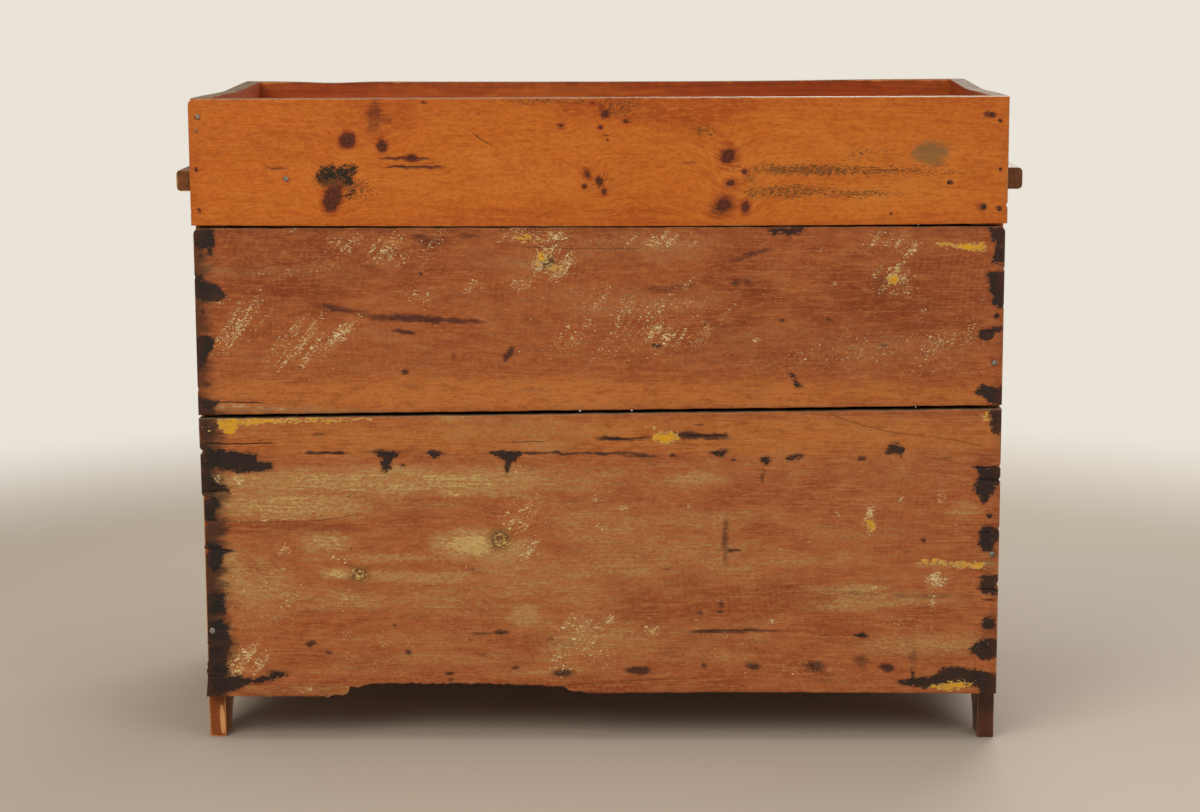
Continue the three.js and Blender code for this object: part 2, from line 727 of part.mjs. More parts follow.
function hingePin() {
  const half = hingeHeight / 2 + fitGap;
  const end = half + pinTipHeight;
  const points = [
    [0, -end], [pinTipRadius / 2, -end], [pinTipRadius, -half], [pinRadius, -half],
    [pinRadius, half], [pinTipRadius, half], [pinTipRadius / 2, end], [0, end],
  ];
  const geometry = turned(points, roundSteps);
  geometry.rotateX(Math.PI / 2);
  return geometry;
}

function buildHinge(side, label, middle) {
  const hinge = new THREE.Group();
  hinge.position.set(side * hingeAxisX, hingeAxisY, middle);
  hinge.add(
    piece(`hinge_frame_leaf_${label}`, hingeLeaf(side, 0), iron),
    piece(`hinge_door_leaf_${label}`, hingeLeaf(-side, 1), iron),
    piece(`hinge_pin_${label}`, hingePin(), iron),
  );
  return hinge;
}

// The turn button's group has its origin on its screw, at the face of the centre stile.

function turnButton() {
  const halfLength = buttonLength / 2 - buttonChamfer;
  const halfWidth = buttonWidth / 2 - buttonChamfer;
  const radius = buttonEndRadius - buttonChamfer;
  const shoulder = halfLength - radius;
  const outline = new THREE.Shape();
  outline.moveTo(radius, -shoulder);
  outline.quadraticCurveTo(2 * halfWidth - radius, 0, radius, shoulder);
  outline.absarc(0, shoulder, radius, 0, Math.PI);
  outline.quadraticCurveTo(radius - 2 * halfWidth, 0, -radius, -shoulder);
  outline.absarc(0, -shoulder, radius, Math.PI, 2 * Math.PI);
  const bar = new THREE.ExtrudeGeometry(outline, {
    depth: buttonThickness - 2 * buttonChamfer,
    bevelThickness: buttonChamfer,
    bevelSize: buttonChamfer,
    bevelSegments: 1,
    curveSegments: archSteps / 2,
  });
  bar.rotateX(Math.PI / 2);
  bar.translate(0, -fitGap - buttonChamfer, 0);
  const bore = roundBar(screwRadius + fitGap, buttonThickness + 2 * (fitGap + cutOverrun));
  bore.translate(0, -fitGap - buttonThickness / 2, 0);
  return cut(bar, bore);
}

function buttonScrew() {
  const seat = buttonThickness + 2 * fitGap;
  const points = [
    [0, -screwDepth], [screwRadius, -screwDepth], [screwRadius, seat], [screwHeadRadius, seat],
    ...screwHeadShares.map(([radius, up]) => [radius * screwHeadRadius, seat + up * screwHeadHeight]),
    [0, seat + screwHeadHeight],
  ];
  const geometry = turned(points, roundSteps);
  geometry.rotateX(Math.PI);
  return geometry;
}

function buildTurnButton() {
  const group = new THREE.Group();
  group.position.set(0, frontFace, buttonHeight);
  group.add(
    piece('turn_button', turnButton(), hardwood),
    piece('turn_button_screw', buttonScrew(), iron),
  );
  return group;
}

const group = new THREE.Group();
const body = new THREE.Group();
body.position.y = bodyCentreY;
group.add(body);
body.add(buildCase(), buildTray(), buildTurnButton());
for (const [side, label] of [[-1, 'left'], [1, 'right']]) {
  body.add(buildDoor(side, label));
  const [upper, lower] = hingeHeights();
  body.add(buildHinge(side, `${label}_upper`, upper), buildHinge(side, `${label}_lower`, lower));
}

export default group;
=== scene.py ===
import json
import math
import random
import bpy
import numpy as np
from mathutils import Matrix, Vector

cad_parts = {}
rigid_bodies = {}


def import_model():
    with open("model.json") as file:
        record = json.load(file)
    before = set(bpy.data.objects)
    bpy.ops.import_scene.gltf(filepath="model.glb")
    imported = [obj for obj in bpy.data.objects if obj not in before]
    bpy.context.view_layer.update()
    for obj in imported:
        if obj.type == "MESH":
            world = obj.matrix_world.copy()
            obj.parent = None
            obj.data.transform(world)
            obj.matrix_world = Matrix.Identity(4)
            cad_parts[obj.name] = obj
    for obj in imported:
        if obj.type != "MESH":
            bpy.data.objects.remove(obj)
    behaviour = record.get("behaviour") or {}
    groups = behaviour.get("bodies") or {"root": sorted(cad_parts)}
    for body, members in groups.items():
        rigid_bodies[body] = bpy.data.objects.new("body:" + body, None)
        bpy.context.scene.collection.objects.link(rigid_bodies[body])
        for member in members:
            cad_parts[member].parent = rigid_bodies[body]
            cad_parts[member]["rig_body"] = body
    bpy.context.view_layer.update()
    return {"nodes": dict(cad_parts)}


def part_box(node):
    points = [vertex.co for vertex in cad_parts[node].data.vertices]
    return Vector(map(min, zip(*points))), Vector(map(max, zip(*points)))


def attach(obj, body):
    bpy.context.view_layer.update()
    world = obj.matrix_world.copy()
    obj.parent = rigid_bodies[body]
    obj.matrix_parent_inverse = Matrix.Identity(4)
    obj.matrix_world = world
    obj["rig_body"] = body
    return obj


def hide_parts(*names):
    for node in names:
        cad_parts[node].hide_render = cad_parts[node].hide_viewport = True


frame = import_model()
scene = bpy.context.scene
mm = 0.001
perMetre = 1000.0
sides = ((1, "right"), (-1, "left"))


def boxInMm(node):
    return [[v * perMetre for v in corner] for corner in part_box(node)]


def newMesh(name, points, faces, smooth=True):
    mesh = bpy.data.meshes.new(name)
    mesh.from_pydata(points, [], faces)
    if smooth:
        mesh.shade_smooth()
    made = bpy.data.objects.new(name, mesh)
    scene.collection.objects.link(made)
    return made


# small tools for shader trees

drawing = {"tree": None}  # the tree that the tools draw in


class Signal:
    # what a node gives out; a sum or product of signals adds the nodes that work it out
    def __init__(self, socket):
        self.socket = socket

    def __add__(self, other):
        return maths("ADD", self, other)

    def __sub__(self, other):
        return maths("SUBTRACT", self, other)

    def __rsub__(self, other):
        return maths("SUBTRACT", other, self)

    def __mul__(self, other):
        return maths("MULTIPLY", self, other)

    def __truediv__(self, other):
        return maths("DIVIDE", self, other)

    __radd__ = __add__
    __rmul__ = __mul__


def colour(text):
    parts = [int(text[at:at + 2], 16) / 255 for at in (1, 3, 5)]
    return tuple(v / 12.92 if v <= 0.04045 else ((v + 0.055) / 1.055) ** 2.4 for v in parts) + (1.0,)


def feed(socket, value):
    if isinstance(value, Signal):
        drawing["tree"].links.new(value.socket, socket)
    elif isinstance(value, str):
        socket.default_value = colour(value)
    elif value is not None:
        socket.default_value = value


def addNode(kind, inputs=None, gives=0, **settings):
    # gives is the output that is wanted, or "all" for every output by its name
    made = drawing["tree"].nodes.new("ShaderNode" + kind)
    for key, value in settings.items():
        setattr(made, key, value)
    for key, value in (inputs or {}).items():
        feed(made.inputs[key], value)
    if gives == "all":
        return {socket.name: Signal(socket) for socket in made.outputs}
    return Signal(made.outputs[gives])


def maths(operation, *values):
    return addNode("Math", dict(enumerate(values)), operation=operation)


def vectors(operation, first, second=None, gives="Vector"):
    return addNode("VectorMath", {0: first, 1: second}, gives, operation=operation)


def clamped(value):
    return addNode("Math", {0: value, 1: 0.0}, operation="ADD", use_clamp=True)


def span(value, low, high, toLow=0.0, toHigh=1.0):
    return addNode("MapRange", {
        "Value": value, "From Min": low, "From Max": high, "To Min": toLow, "To Max": toHigh,
    }, interpolation_type="SMOOTHSTEP")


def tint(share, under, over, mode="MIX"):
    return addNode("Mix", {0: share, 6: under, 7: over}, 2, data_type="RGBA", blend_type=mode)


def layered(look, base, layers):
    # layers lie on each other: (mask, colour), where the colour may be named in the look
    for mask, tone in layers:
        base = tint(mask, base, look.get(tone, tone))
    return base


def heaped(parts):
    # the height in mm that (mask, height) pairs make together
    return sum(mask * height for mask, height in parts)


def scaled(vector, factors):
    return vectors("MULTIPLY", vector, factors)


def cloud(vector, sizes, detail=2.0, roughness=0.5):
    # noise whose lumps are about sizes long, in the units of the vector
    shares = tuple(1 / size for size in sizes)
    return addNode("TexNoise", {
        "Vector": scaled(vector, shares), "Scale": 1.0, "Detail": detail, "Roughness": roughness,
    })


def evenClouds(vector, noises):
    # one cloud for each row, about zero
    return [cloud(vector, *noise) - 0.5 for noise in noises.values()]


def axesOf(vector):
    return list(addNode("SeparateXYZ", {0: vector}, "all").values())


def vectorOf(x, y, z):
    return addNode("CombineXYZ", {0: x, 1: y, 2: z})


def placeInMm():
    return scaled(addNode("TexCoord", gives="Object"), (perMetre,) * 3)


def makeGroup(name, defaults, draw):
    # a shared effect, which gives out what draw makes of what it is given
    group = bpy.data.node_groups.new(name, "ShaderNodeTree")
    drawing["tree"] = group
    for label, value in defaults.items():
        kind = "NodeSocketVector" if isinstance(value, tuple) else "NodeSocketFloat"
        group.interface.new_socket(label, in_out="INPUT", socket_type=kind).default_value = value
    results = draw({socket.name: Signal(socket) for socket in group.nodes.new("NodeGroupInput").outputs})
    for label in results:
        group.interface.new_socket(label, in_out="OUTPUT", socket_type="NodeSocketFloat")
    out = group.nodes.new("NodeGroupOutput").inputs
    for label, value in results.items():
        feed(out[label], value)
    return group


def useGroup(group, inputs):
    return addNode("Group", inputs, "all", node_tree=group)


def newMaterial(name):
    material = bpy.data.materials.new(name)
    material.use_nodes = True
    drawing["tree"] = material.node_tree
    return material, material.node_tree.nodes["Principled BSDF"]


def fitShader(shader, values, height=None):
    # what is the same all over a piece is set on the shader's own sockets
    for label, value in values.items():
        feed(shader.inputs[label], value)
    if height is not None:
        feed(shader.inputs["Normal"], addNode("Bump", {"Strength": 1.0, "Distance": mm, "Height": height}))


# camera, floor and light

# the camera stands behind the cabinet and looks at its back boards
cameraSetup = {
    "place": (-0.07246, 3.80284, 1.03930),
    "turn": (80.6487, 0.2527, -178.89),
    "lens": 81.12,
    "sensor": 36,
}

stageSetup = {
    "floorColour": "#B9AE9F",
    "rings": (0.6, 1.2, 1.8, 2.4, 3.2),
    "turns": 64,
    "height": -0.0002,
    "fadeFrom": 1.35,
    "fadeTo": 2.5,
    "finish": {"Roughness": 0.65, "Specular IOR Level": 0.2},
}

lampSetup = {
    # name: (place, aim, size, watts, colour)
    "key": ((1.9, 3.0, 2.7), (0.0, 0.25, 0.4), 2.4, 86, "#FFF6EA"),
    "fill": ((-2.6, 2.6, 1.5), (0.0, 0.2, 0.4), 2.6, 36, "#F4F6FF"),
    "front": ((-1.2, -3.0, 2.6), (0.0, 0.0, 0.45), 2.4, 78, "#FFFBF4"),
    "above": ((0.0, 0.4, 3.6), (0.0, 0.0, 0.5), 2.6, 52, "#FFFFFF"),
}
worldSetup = {"light": "#F2EFEA", "strength": 0.2, "seen": "#EAE3D8", "mirrored": 0.3}


def placeCamera(setup):
    data = bpy.data.cameras.new("back view")
    data.lens = setup["lens"]
    data.sensor_width = setup["sensor"]
    camera = bpy.data.objects.new("back view", data)
    camera.location = setup["place"]
    camera.rotation_euler = [math.radians(v) for v in setup["turn"]]
    scene.collection.objects.link(camera)
    scene.camera = camera


def placeLamps(lamps):
    for name, (place, aim, size, watts, tone) in lamps.items():
        data = bpy.data.lights.new(name, "AREA")
        data.size = size
        data.energy = watts
        data.color = colour(tone)[:3]
        lamp = bpy.data.objects.new(name, data)
        lamp.location = place
        lamp.rotation_euler = (Vector(aim) - Vector(place)).to_track_quat("-Z", "Y").to_euler()
        scene.collection.objects.link(lamp)


def lightWorld(setup):
    # the world lights the object softly, and looks pale behind it and, less so, in its reflections
    world = bpy.data.worlds.new("studio")
    scene.world = world
    world.use_nodes = True
    drawing["tree"] = world.node_tree
    light = world.node_tree.nodes["Background"]
    feed(light.inputs["Color"], setup["light"])
    feed(light.inputs["Strength"], setup["strength"])
    seen = addNode("Background", {"Color": setup["seen"], "Strength": 1.0})
    rays = addNode("LightPath", gives="all")
    either = maths("MAXIMUM", rays["Is Camera Ray"], rays["Is Glossy Ray"] * setup["mirrored"])
    either = maths("MAXIMUM", either, rays["Is Transmission Ray"])
    both = addNode("MixShader", {0: either, 1: Signal(light.outputs[0]), 2: seen})
    feed(world.node_tree.nodes["World Output"].inputs["Surface"], both)


def buildStage(setup):
    # a round pale floor that fades into the world
    turns, rings, height = setup["turns"], setup["rings"], setup["height"]
    angles = [2 * math.pi * k / turns for k in range(turns)]
    points = [(0.0, 0.0, height)]
    points += [(r * math.cos(angle), r * math.sin(angle), height) for r in rings for angle in angles]
    faces = [(0, 1 + k, 1 + (k + 1) % turns) for k in range(turns)]
    for ring in range(len(rings) - 1):
        first = 1 + ring * turns
        faces += [(first + k, first + turns + k, first + turns + (k + 1) % turns, first + (k + 1) % turns)
                  for k in range(turns)]
    floor = newMesh("studio_floor", points, faces, smooth=False)
    material, shader = newMaterial("studio floor")
    away = vectors("LENGTH", addNode("TexCoord", gives="Object"), gives="Value")
    # it fades with distance, and from below it can be looked through
    below = addNode("NewGeometry", gives="Backfacing")
    seen = span(away, setup["fadeTo"], setup["fadeFrom"]) * (1.0 - below)
    fitShader(shader, dict(setup["finish"], **{"Base Color": setup["floorColour"], "Alpha": seen}))
    floor.data.materials.append(material)


placeCamera(cameraSetup)
buildStage(stageSetup)
placeLamps(lampSetup)
lightWorld(worldSetup)
scene.view_settings.view_transform = "Standard"
print("stage, camera and lamps are up")


# shared effects: lengths inside them are in millimetres, the first axis runs along the grain

seedStep = (917.0, 331.0, 173.0)
pineNoise = {
    # sizes of the lumps, detail, roughness
    "slow": ((620.0, 120.0, 120.0), 1.0),
    "quick": ((170.0, 24.0, 24.0), 2.0),
    "ragged": ((9.0, 4.0, 6.0),),
}


def seeded(vector, seed):
    return vectors("ADD", vector, scaled(vectorOf(seed, seed, seed), seedStep))


def knotFigure(given, along, across, ragged):
    # knots lie far apart: how many radii away the nearest one is, and its radius
    cell = (310.0, 140.0, 1.0)
    flat = seeded(vectorOf(along, across, 0.0), given["Seed"])
    spots = addNode("TexVoronoi", {
        "Vector": scaled(flat, tuple(1 / size for size in cell)), "Scale": 1.0, "Randomness": 0.8,
    }, "all", voronoi_dimensions="2D")
    away = scaled(vectors("SUBTRACT", scaled(spots["Position"], cell), flat), (0.8, 1.0, 0.0))
    luck = axesOf(spots["Color"])
    radius = given["Knot Size"] * (0.45 + luck[1])
    absent = maths("GREATER_THAN", luck[0], given["Knot Share"])
    return vectors("LENGTH", away, gives="Value") / radius + absent * 99.0 + ragged * 0.7, radius


def drawPine(given):
    place = seeded(given["Vector"], given["Seed"])
    along, across, through = axesOf(given["Vector"])
    slow, quick, ragged = evenClouds(place, pineNoise)
    reach, radius = knotFigure(given, along, across, ragged)
    # distance from the pith makes the rings, which flow round the knots
    fromPith = vectorOf(across - given["Pith Across"], through - given["Pith Depth"], 0.0)
    pith = vectors("LENGTH", fromPith, gives="Value") + given["Wander"] * (slow * 2.2 + quick * 0.3)
    pith += maths("EXPONENT", reach * reach * -0.16) * radius * 1.7
    pith += (cloud(vectorOf(pith, given["Seed"], 0.0), (26.0, 1.0, 1.0), 1.0) - 0.5) * 11.0
    ring = pith / given["Ring Width"]
    part = maths("FRACT", ring)
    year = addNode("TexWhiteNoise", {"W": maths("FLOOR", ring)}, noise_dimensions="1D")
    return {
        "Rings": span(part, 0.3, 0.88) * span(part, 1.0, 0.9) * (year * 0.6 + 0.4),
        "Streaks": cloud(place, (95.0, 1.5, 1.5), 4.0, 0.62),
        "Pores": span(cloud(place, (13.0, 0.8, 0.8), 2.0, 0.6), 0.66, 0.8),
        "Broad": cloud(place, (340.0, 70.0, 70.0), 3.0, 0.55),
        "Knot": span(reach, 1.08, 0.86),
        "Knot Rings": span(maths("SINE", reach * 15.0), -1.0, 1.0),
    }


def drawEdgeWear(given):
    # distance to the nearest arris of the box that a piece fills, made ragged by noise
    low = vectors("SUBTRACT", given["Vector"], given["Low"])
    high = vectors("SUBTRACT", given["High"], given["Vector"])
    first, second, third = axesOf(vectors("MINIMUM", low, high))
    large = maths("MINIMUM", maths("MAXIMUM", first, second), third)
    edge = maths("MAXIMUM", maths("MINIMUM", first, second), large)
    place = seeded(given["Vector"], given["Seed"])
    rough = cloud(place, (14.0,) * 3, 4.0, 0.65)
    patchy = span(cloud(place, (90.0,) * 3, 1.0), 0.34, 0.62, 0.25, 1.0)
    share = edge / (given["Width"] * patchy) + (rough - 0.5) * 3.2
    near = span(edge / given["Reach"], 1.0, 0.0) * span(rough, 0.3, 0.65)
    return {"Wear": span(share, 1.3, 0.5), "Near": near}


def drawFlecks(given):
    # ragged flecks, closer together and larger where the density is higher
    place = seeded(given["Vector"], given["Seed"])
    cells = vectors("DIVIDE", place, vectorOf(given["Long"], given["High"], given["High"]))
    lumps = addNode("TexNoise", {"Vector": cells, "Scale": 1.0, "Detail": 3.0, "Roughness": 0.62})
    crowd = maths("POWER", maths("MAXIMUM", given["Density"], 0.0), 0.45)
    mask = span(lumps + crowd * 0.29, 0.8, 0.83)
    return {"Mask": mask * span(given["Density"], 0.0, 0.02)}


def drawGrime(given):
    # dirt that gathers in clouds and spots
    place = seeded(given["Vector"], given["Seed"])
    fine = cloud(place, (6.0, 2.5, 2.5), 3.0, 0.6) - 0.5
    dirt = cloud(place, (130.0, 60.0, 60.0), 4.0, 0.6) + fine * 0.3
    limit = 0.78 - given["Amount"] * 0.42
    spots = addNode("TexVoronoi", {"Vector": scaled(place, (0.028, 0.05, 0.05)), "Scale": 1.0}, "all")
    luck = axesOf(spots["Color"])
    speck = span(spots["Distance"] / (luck[1] * luck[1] * 0.09 + 0.02), 1.0, 0.6)
    return {
        "Mask": span(dirt, limit, limit + 0.22),
        "Specks": speck * maths("GREATER_THAN", given["Amount"], luck[0]),
    }


def drawSawMarks(given):
    # faint arcs of a mill saw across a board
    place = seeded(given["Vector"], given["Seed"])
    along, across = axesOf(given["Vector"])[:2]
    run = along + across * across / (given["Radius"] * 2.0) + cloud(place, (60.0, 200.0, 60.0), 1.0) * 10.0
    wave = maths("SINE", run / given["Pitch"] * (2 * math.pi))
    return {"Marks": span(wave, -0.2, 1.0) * span(cloud(place, (160.0, 70.0, 70.0)), 0.42, 0.62)}


origin = (0.0, 0.0, 0.0)
pineFigure = makeGroup("pine figure", {
    "Vector": origin, "Seed": 0.0, "Pith Across": 20.0, "Pith Depth": -70.0,
    "Ring Width": 4.0, "Wander": 22.0, "Knot Share": 0.25, "Knot Size": 8.0,
}, drawPine)
edgeWear = makeGroup("edge wear", {
    "Vector": origin, "Low": origin, "High": (1.0, 1.0, 1.0), "Width": 2.0, "Reach": 30.0, "Seed": 0.0,
}, drawEdgeWear)
fleckSpots = makeGroup("flecks", {
    "Vector": origin, "Density": 0.1, "Long": 5.0, "High": 2.4, "Seed": 0.0,
}, drawFlecks)
grimeClouds = makeGroup("grime", {"Vector": origin, "Amount": 0.5, "Seed": 0.0}, drawGrime)
sawMarks = makeGroup("saw marks", {
    "Vector": origin, "Pitch": 7.0, "Radius": 420.0, "Seed": 0.0,
}, drawSawMarks)
print("shared effects are made")


# wood and iron of the CAD nodes

finishes = {
    # shellacked pine of the tray, the front and the ends
    "shellac": {
        "early": "#C66A20", "late": "#9C4412", "glow": "#D68232", "deep": "#7E3310", "knot": "#4A2013",
        "knotHeart": "#6E3219", "grime": "#6B3015", "worn": "#D09052", "speck": "#43190E",
        "ringShare": 0.62, "fibreShare": 0.5, "glowShare": 0.55, "grimeShare": 0.5, "grimeAmount": 0.42,
        "speckAmount": 0.16, "nearShare": 0.5, "wearShare": 0.7, "wearWidth": 1.9, "rough": 0.42,
        "coat": 0.1,
    },
    # the same pine on the inner faces of the tray, darker and redder, partly its own tone and partly painted
    # shade of the inside
    "tray inside": {
        "early": "#A84A17", "late": "#82330E", "glow": "#BC6426", "deep": "#64260D", "knot": "#3F1A10",
        "knotHeart": "#5E2814", "grime": "#5A2610", "worn": "#D5A473", "speck": "#3A150C", "ringShare": 0.5,
        "fibreShare": 0.5, "glowShare": 0.45, "grimeShare": 0.55, "grimeAmount": 0.5, "speckAmount": 0.2,
        "nearShare": 0.55, "wearShare": 0.6, "wearWidth": 2.0, "rough": 0.55, "coat": 0.03,
    },
    # bare pine that has only browned with age
    "bare": {
        "early": "#BC8A58", "late": "#94602F", "glow": "#CBA071", "deep": "#6F4A2C", "knot": "#54301B",
        "knotHeart": "#7A4A28", "grime": "#64452C", "worn": "#D2B088", "speck": "#3B281B",
        "ringShare": 0.65, "fibreShare": 0.55, "glowShare": 0.5, "grimeShare": 0.6, "grimeAmount": 0.45,
        "speckAmount": 0.12, "nearShare": 0.45, "wearShare": 0.5, "wearWidth": 2.0, "rough": 0.72,
        "coat": 0.0,
    },
    # maple or birch with a dark stain, for what hands touch
    "hardwood": {
        "early": "#8A5428", "late": "#66381A", "glow": "#9C6434", "deep": "#4A2612", "knot": "#3A1C0E",
        "knotHeart": "#4A2613", "grime": "#3A2012", "worn": "#B9824C", "speck": "#2A150C", "ringShare": 0.5,
        "fibreShare": 0.6, "glowShare": 0.5, "grimeShare": 0.5, "grimeAmount": 0.45, "speckAmount": 0.1,
        "nearShare": 0.3, "wearShare": 0.8, "wearWidth": 1.8, "rough": 0.4, "coat": 0.12,
    },
}
# what a finish or a piece leaves open
pineLook = {
    "ringWidth": 4.2, "knots": 0.3, "knotSize": 8.5, "wander": 22.0, "wearReach": 26.0, "fibre": "#B98A6A",
    "coatRough": 0.22, "gloss": 0.25, "raw": None, "rim": None, "sawn": False, "sawPitch": 6.5,
    "marks": [], "rubs": [],
    "relief": {"Rings": 0.05, "Streaks": 0.16, "Pores": -0.12, "Broad": 1.2, "Knot": 0.12},
}


def grainVector(grain, box):
    # millimetres from the middle of the piece, with the grain along the first axis
    axes = axesOf(vectors("ADD", placeInMm(), [-(a + b) / 2 for a, b in zip(*box)]))
    return vectorOf(*[axes["xyz".index(letter)] for letter in grain])


def upFacingGreyAndSheen(ragged):
    # faces that look up, where the rims are worn and grey; the grey there also stands for a painted sheen of
    # reflected light
    up = axesOf(addNode("TexCoord", gives="Normal"))[2]
    return span(ragged * 0.8 + up, 0.6, 0.9)


def arrisWear(box, look, seed):
    return useGroup(edgeWear, {
        "Vector": placeInMm(), "Low": box[0], "High": box[1],
        "Width": look["wearWidth"], "Reach": look["wearReach"], "Seed": seed,
    })


def pineMaterial(name, box, grain, finish, seed, own):
    # every piece is sawn from another part of a trunk
    pith = {"pithAcross": (seed * 37) % 90 - 45.0, "pithDepth": -55.0 - (seed * 23) % 50}
    look = {**pineLook, **pith, **finishes[finish], **own}
    material, shader = newMaterial(name)
    wood, place = grainVector(grain, box), placeInMm()
    figure = useGroup(pineFigure, {
        "Vector": wood, "Seed": seed, "Ring Width": look["ringWidth"], "Pith Across": look["pithAcross"],
        "Pith Depth": look["pithDepth"], "Knot Share": look["knots"], "Knot Size": look["knotSize"],
        "Wander": look["wander"],
    })
    dirt = useGroup(grimeClouds, {"Vector": wood, "Amount": look["grimeAmount"], "Seed": seed + 0.5})
    speckled = useGroup(grimeClouds, {"Vector": wood, "Amount": look["speckAmount"], "Seed": seed + 7.7})
    edge = arrisWear(box, look, seed)
    rings = figure["Rings"] * look["ringShare"]
    base = tint(rings, look["early"], look["late"])
    if look["raw"]:
        # beyond this limit a face never had the finish; the tray inside tone used there is darker partly as
        # painted shade
        axis, limit, sign, kind = look["raw"]
        inner = maths("GREATER_THAN", axesOf(place)[axis] * sign, limit * sign)
        base = tint(inner, base, tint(rings, finishes[kind]["early"], finishes[kind]["late"]))
    fibre = span(figure["Streaks"], 0.45, 0.72) * look["fibreShare"]
    base = tint(fibre, base, tint(1.0, base, look["fibre"], "MULTIPLY"))
    mottle = cloud(wood, (38.0, 9.0, 9.0), 5.0, 0.68)
    base = layered(look, base, [
        (span(figure["Broad"], 0.46, 0.7) * look["glowShare"] * 0.5, "glow"),
        (span(mottle, 0.5, 0.72) * 0.4, "deep"),
        (span(mottle, 0.46, 0.26) * 0.4, "glow"),
        (span(figure["Broad"], 0.5, 0.3) * look["glowShare"] * 0.5, "deep"),
        (figure["Pores"] * 0.35, "deep"),
        (figure["Knot"] * 0.88, tint(figure["Knot Rings"], look["knot"], look["knotHeart"])),
        (dirt["Mask"] * look["grimeShare"], "grime"),
        (speckled["Specks"] * 0.8, "speck"),
        (edge["Near"] * look["nearShare"], "grime"),
    ])
    rough = figure["Broad"] * 0.22 + look["rough"] - 0.11
    # marks that use has left, and on the feet also painted light and shade: (place, inner radius, outer
    # radius, tint, share, change of roughness)
    uneven = cloud(place, (16.0,) * 3, 4.0, 0.65) - 0.5
    for point, inner, outer, tone, share, change in look["marks"]:
        away = vectors("DISTANCE", place, point, "Value") + uneven * (0.7 * (outer - inner))
        mark = span(away, outer, inner) * share
        base = tint(mark, base, tone)
        rough = mark * change + rough
    # rings that something has rubbed: (place, radius, half width, tint, share)
    for point, radius, half, tone, share in look["rubs"]:
        away = maths("ABSOLUTE", vectors("DISTANCE", place, point, "Value") - radius) + uneven * half
        base = tint(span(away, half, half * 0.3) * span(mottle, 0.4, 0.62) * share, base, tone)
    wear = edge["Wear"] * look["wearShare"]
    base = tint(wear, base, look["worn"])
    coat = look["coat"]
    # rims that look up: grey weathering together with a painted sheen of reflected light
    if look["rim"]:
        rim = upFacingGreyAndSheen(mottle - 0.5)
        base = tint(rim * 0.9, base, tint(span(mottle, 0.35, 0.65), look["rim"], look["rimDark"]))
        rough = rim * 0.3 + rough
        coat = coat - rim * coat
    relief = [(edge["Wear"], -0.1)]
    relief += [(figure[part], height) for part, height in look["relief"].items()]
    if look["sawn"]:
        saw = useGroup(sawMarks, {"Vector": wood, "Pitch": look["sawPitch"], "Seed": seed})
        relief.append((saw["Marks"], 0.12))
    fitShader(shader, {
        "Base Color": base, "Roughness": clamped(wear * 0.18 + rough), "Coat Weight": coat,
        "Coat Roughness": look["coatRough"], "Specular IOR Level": look["gloss"],
    }, heaped(relief))
    return material


ironLook = {
    "iron": "#302A25", "polished": "#6E665E", "rust": "#6B3A1E", "dust": "#7A5B40", "bright": "#9C968B",
}


def ironMaterial(name, shine):
    # shine runs from 0, rusty, to 1, rubbed bright
    material, shader = newMaterial(name)
    place = placeInMm()
    rusty = span(cloud(place, (5.0,) * 3, 5.0, 0.65), 0.42 + 0.16 * shine, 0.6 + 0.16 * shine)
    rubbed = span(cloud(place, (11.0, 3.0, 11.0), 4.0, 0.6), 0.66 - 0.4 * shine, 0.8 - 0.3 * shine)
    fine = cloud(place, (0.9,) * 3, 3.0, 0.6)
    fitShader(shader, {
        "Base Color": layered(ironLook, ironLook["iron"], [
            (rubbed, "bright" if shine > 0.5 else "polished"), (rusty, "rust"),
            (span(fine, 0.55, 0.75) * 0.4, "dust"),
        ]),
        "Metallic": span(rusty, 0.0, 1.0, 0.12 + 0.75 * shine, 0.05),
        "Roughness": span(rusty, 0.0, 1.0, 0.62 - 0.25 * shine, 0.85),
        "Specular IOR Level": 0.15 + 0.35 * shine,
    }, (rusty + fine) * 0.08)
    return material


arrisLook = {"joined": 0.00002, "segments": 2, "sharperThan": 38}


def dress(node, material, arris=0.0):
    piece = frame["nodes"][node]
    piece.data.materials.clear()
    piece.data.materials.append(material)
    if arris:
        piece.modifiers.new("joined corners", "WELD").merge_threshold = arrisLook["joined"]
        rounding = piece.modifiers.new("worn arrises", "BEVEL")
        rounding.width = arris * mm
        rounding.segments = arrisLook["segments"]
        rounding.limit_method = "ANGLE"
        rounding.angle_limit = math.radians(arrisLook["sharperThan"])
        rounding.use_clamp_overlap = True
        piece.modifiers.new("even shading", "WEIGHTED_NORMAL").keep_sharp = True


# where hands and the turn button touch the front
knobPlaces = {"left": (-69.4, -252.0, 400.0), "right": (69.4, -252.0, 400.0)}
buttonPlace = (0.0, -252.0, 472.0)
buttonRub = [(buttonPlace, 44.0, 9.0, "#CC8A4A", 0.45), (buttonPlace, 51.5, 1.2, "#5A2A14", 0.4)]

# the feet carry dark stains; on the left foot they are partly painted shade, and on the right foot a pale
# leaf is painted light
footStainsLightAndShade = {
    "right": [
        ((520.0, 254.8, 30.0), 26.0, 60.0, "#7E3E1A", 0.8, 0.0),
        ((520.0, -229.0, 6.0), 10.0, 40.0, "#5A3018", 0.5, 0.1),
    ],
    "left": [
        # the dark on the left foot is stain and painted shade
        ((-520.0, 254.8, 10.0), 34.0, 74.0, "#38221A", 0.85, 0.0),
        ((-516.0, 254.8, 52.0), 8.0, 30.0, "#2A1A16", 0.7, 0.0),
        ((-520.0, -229.0, 6.0), 10.0, 46.0, "#54301C", 0.5, 0.1),
    ],
}
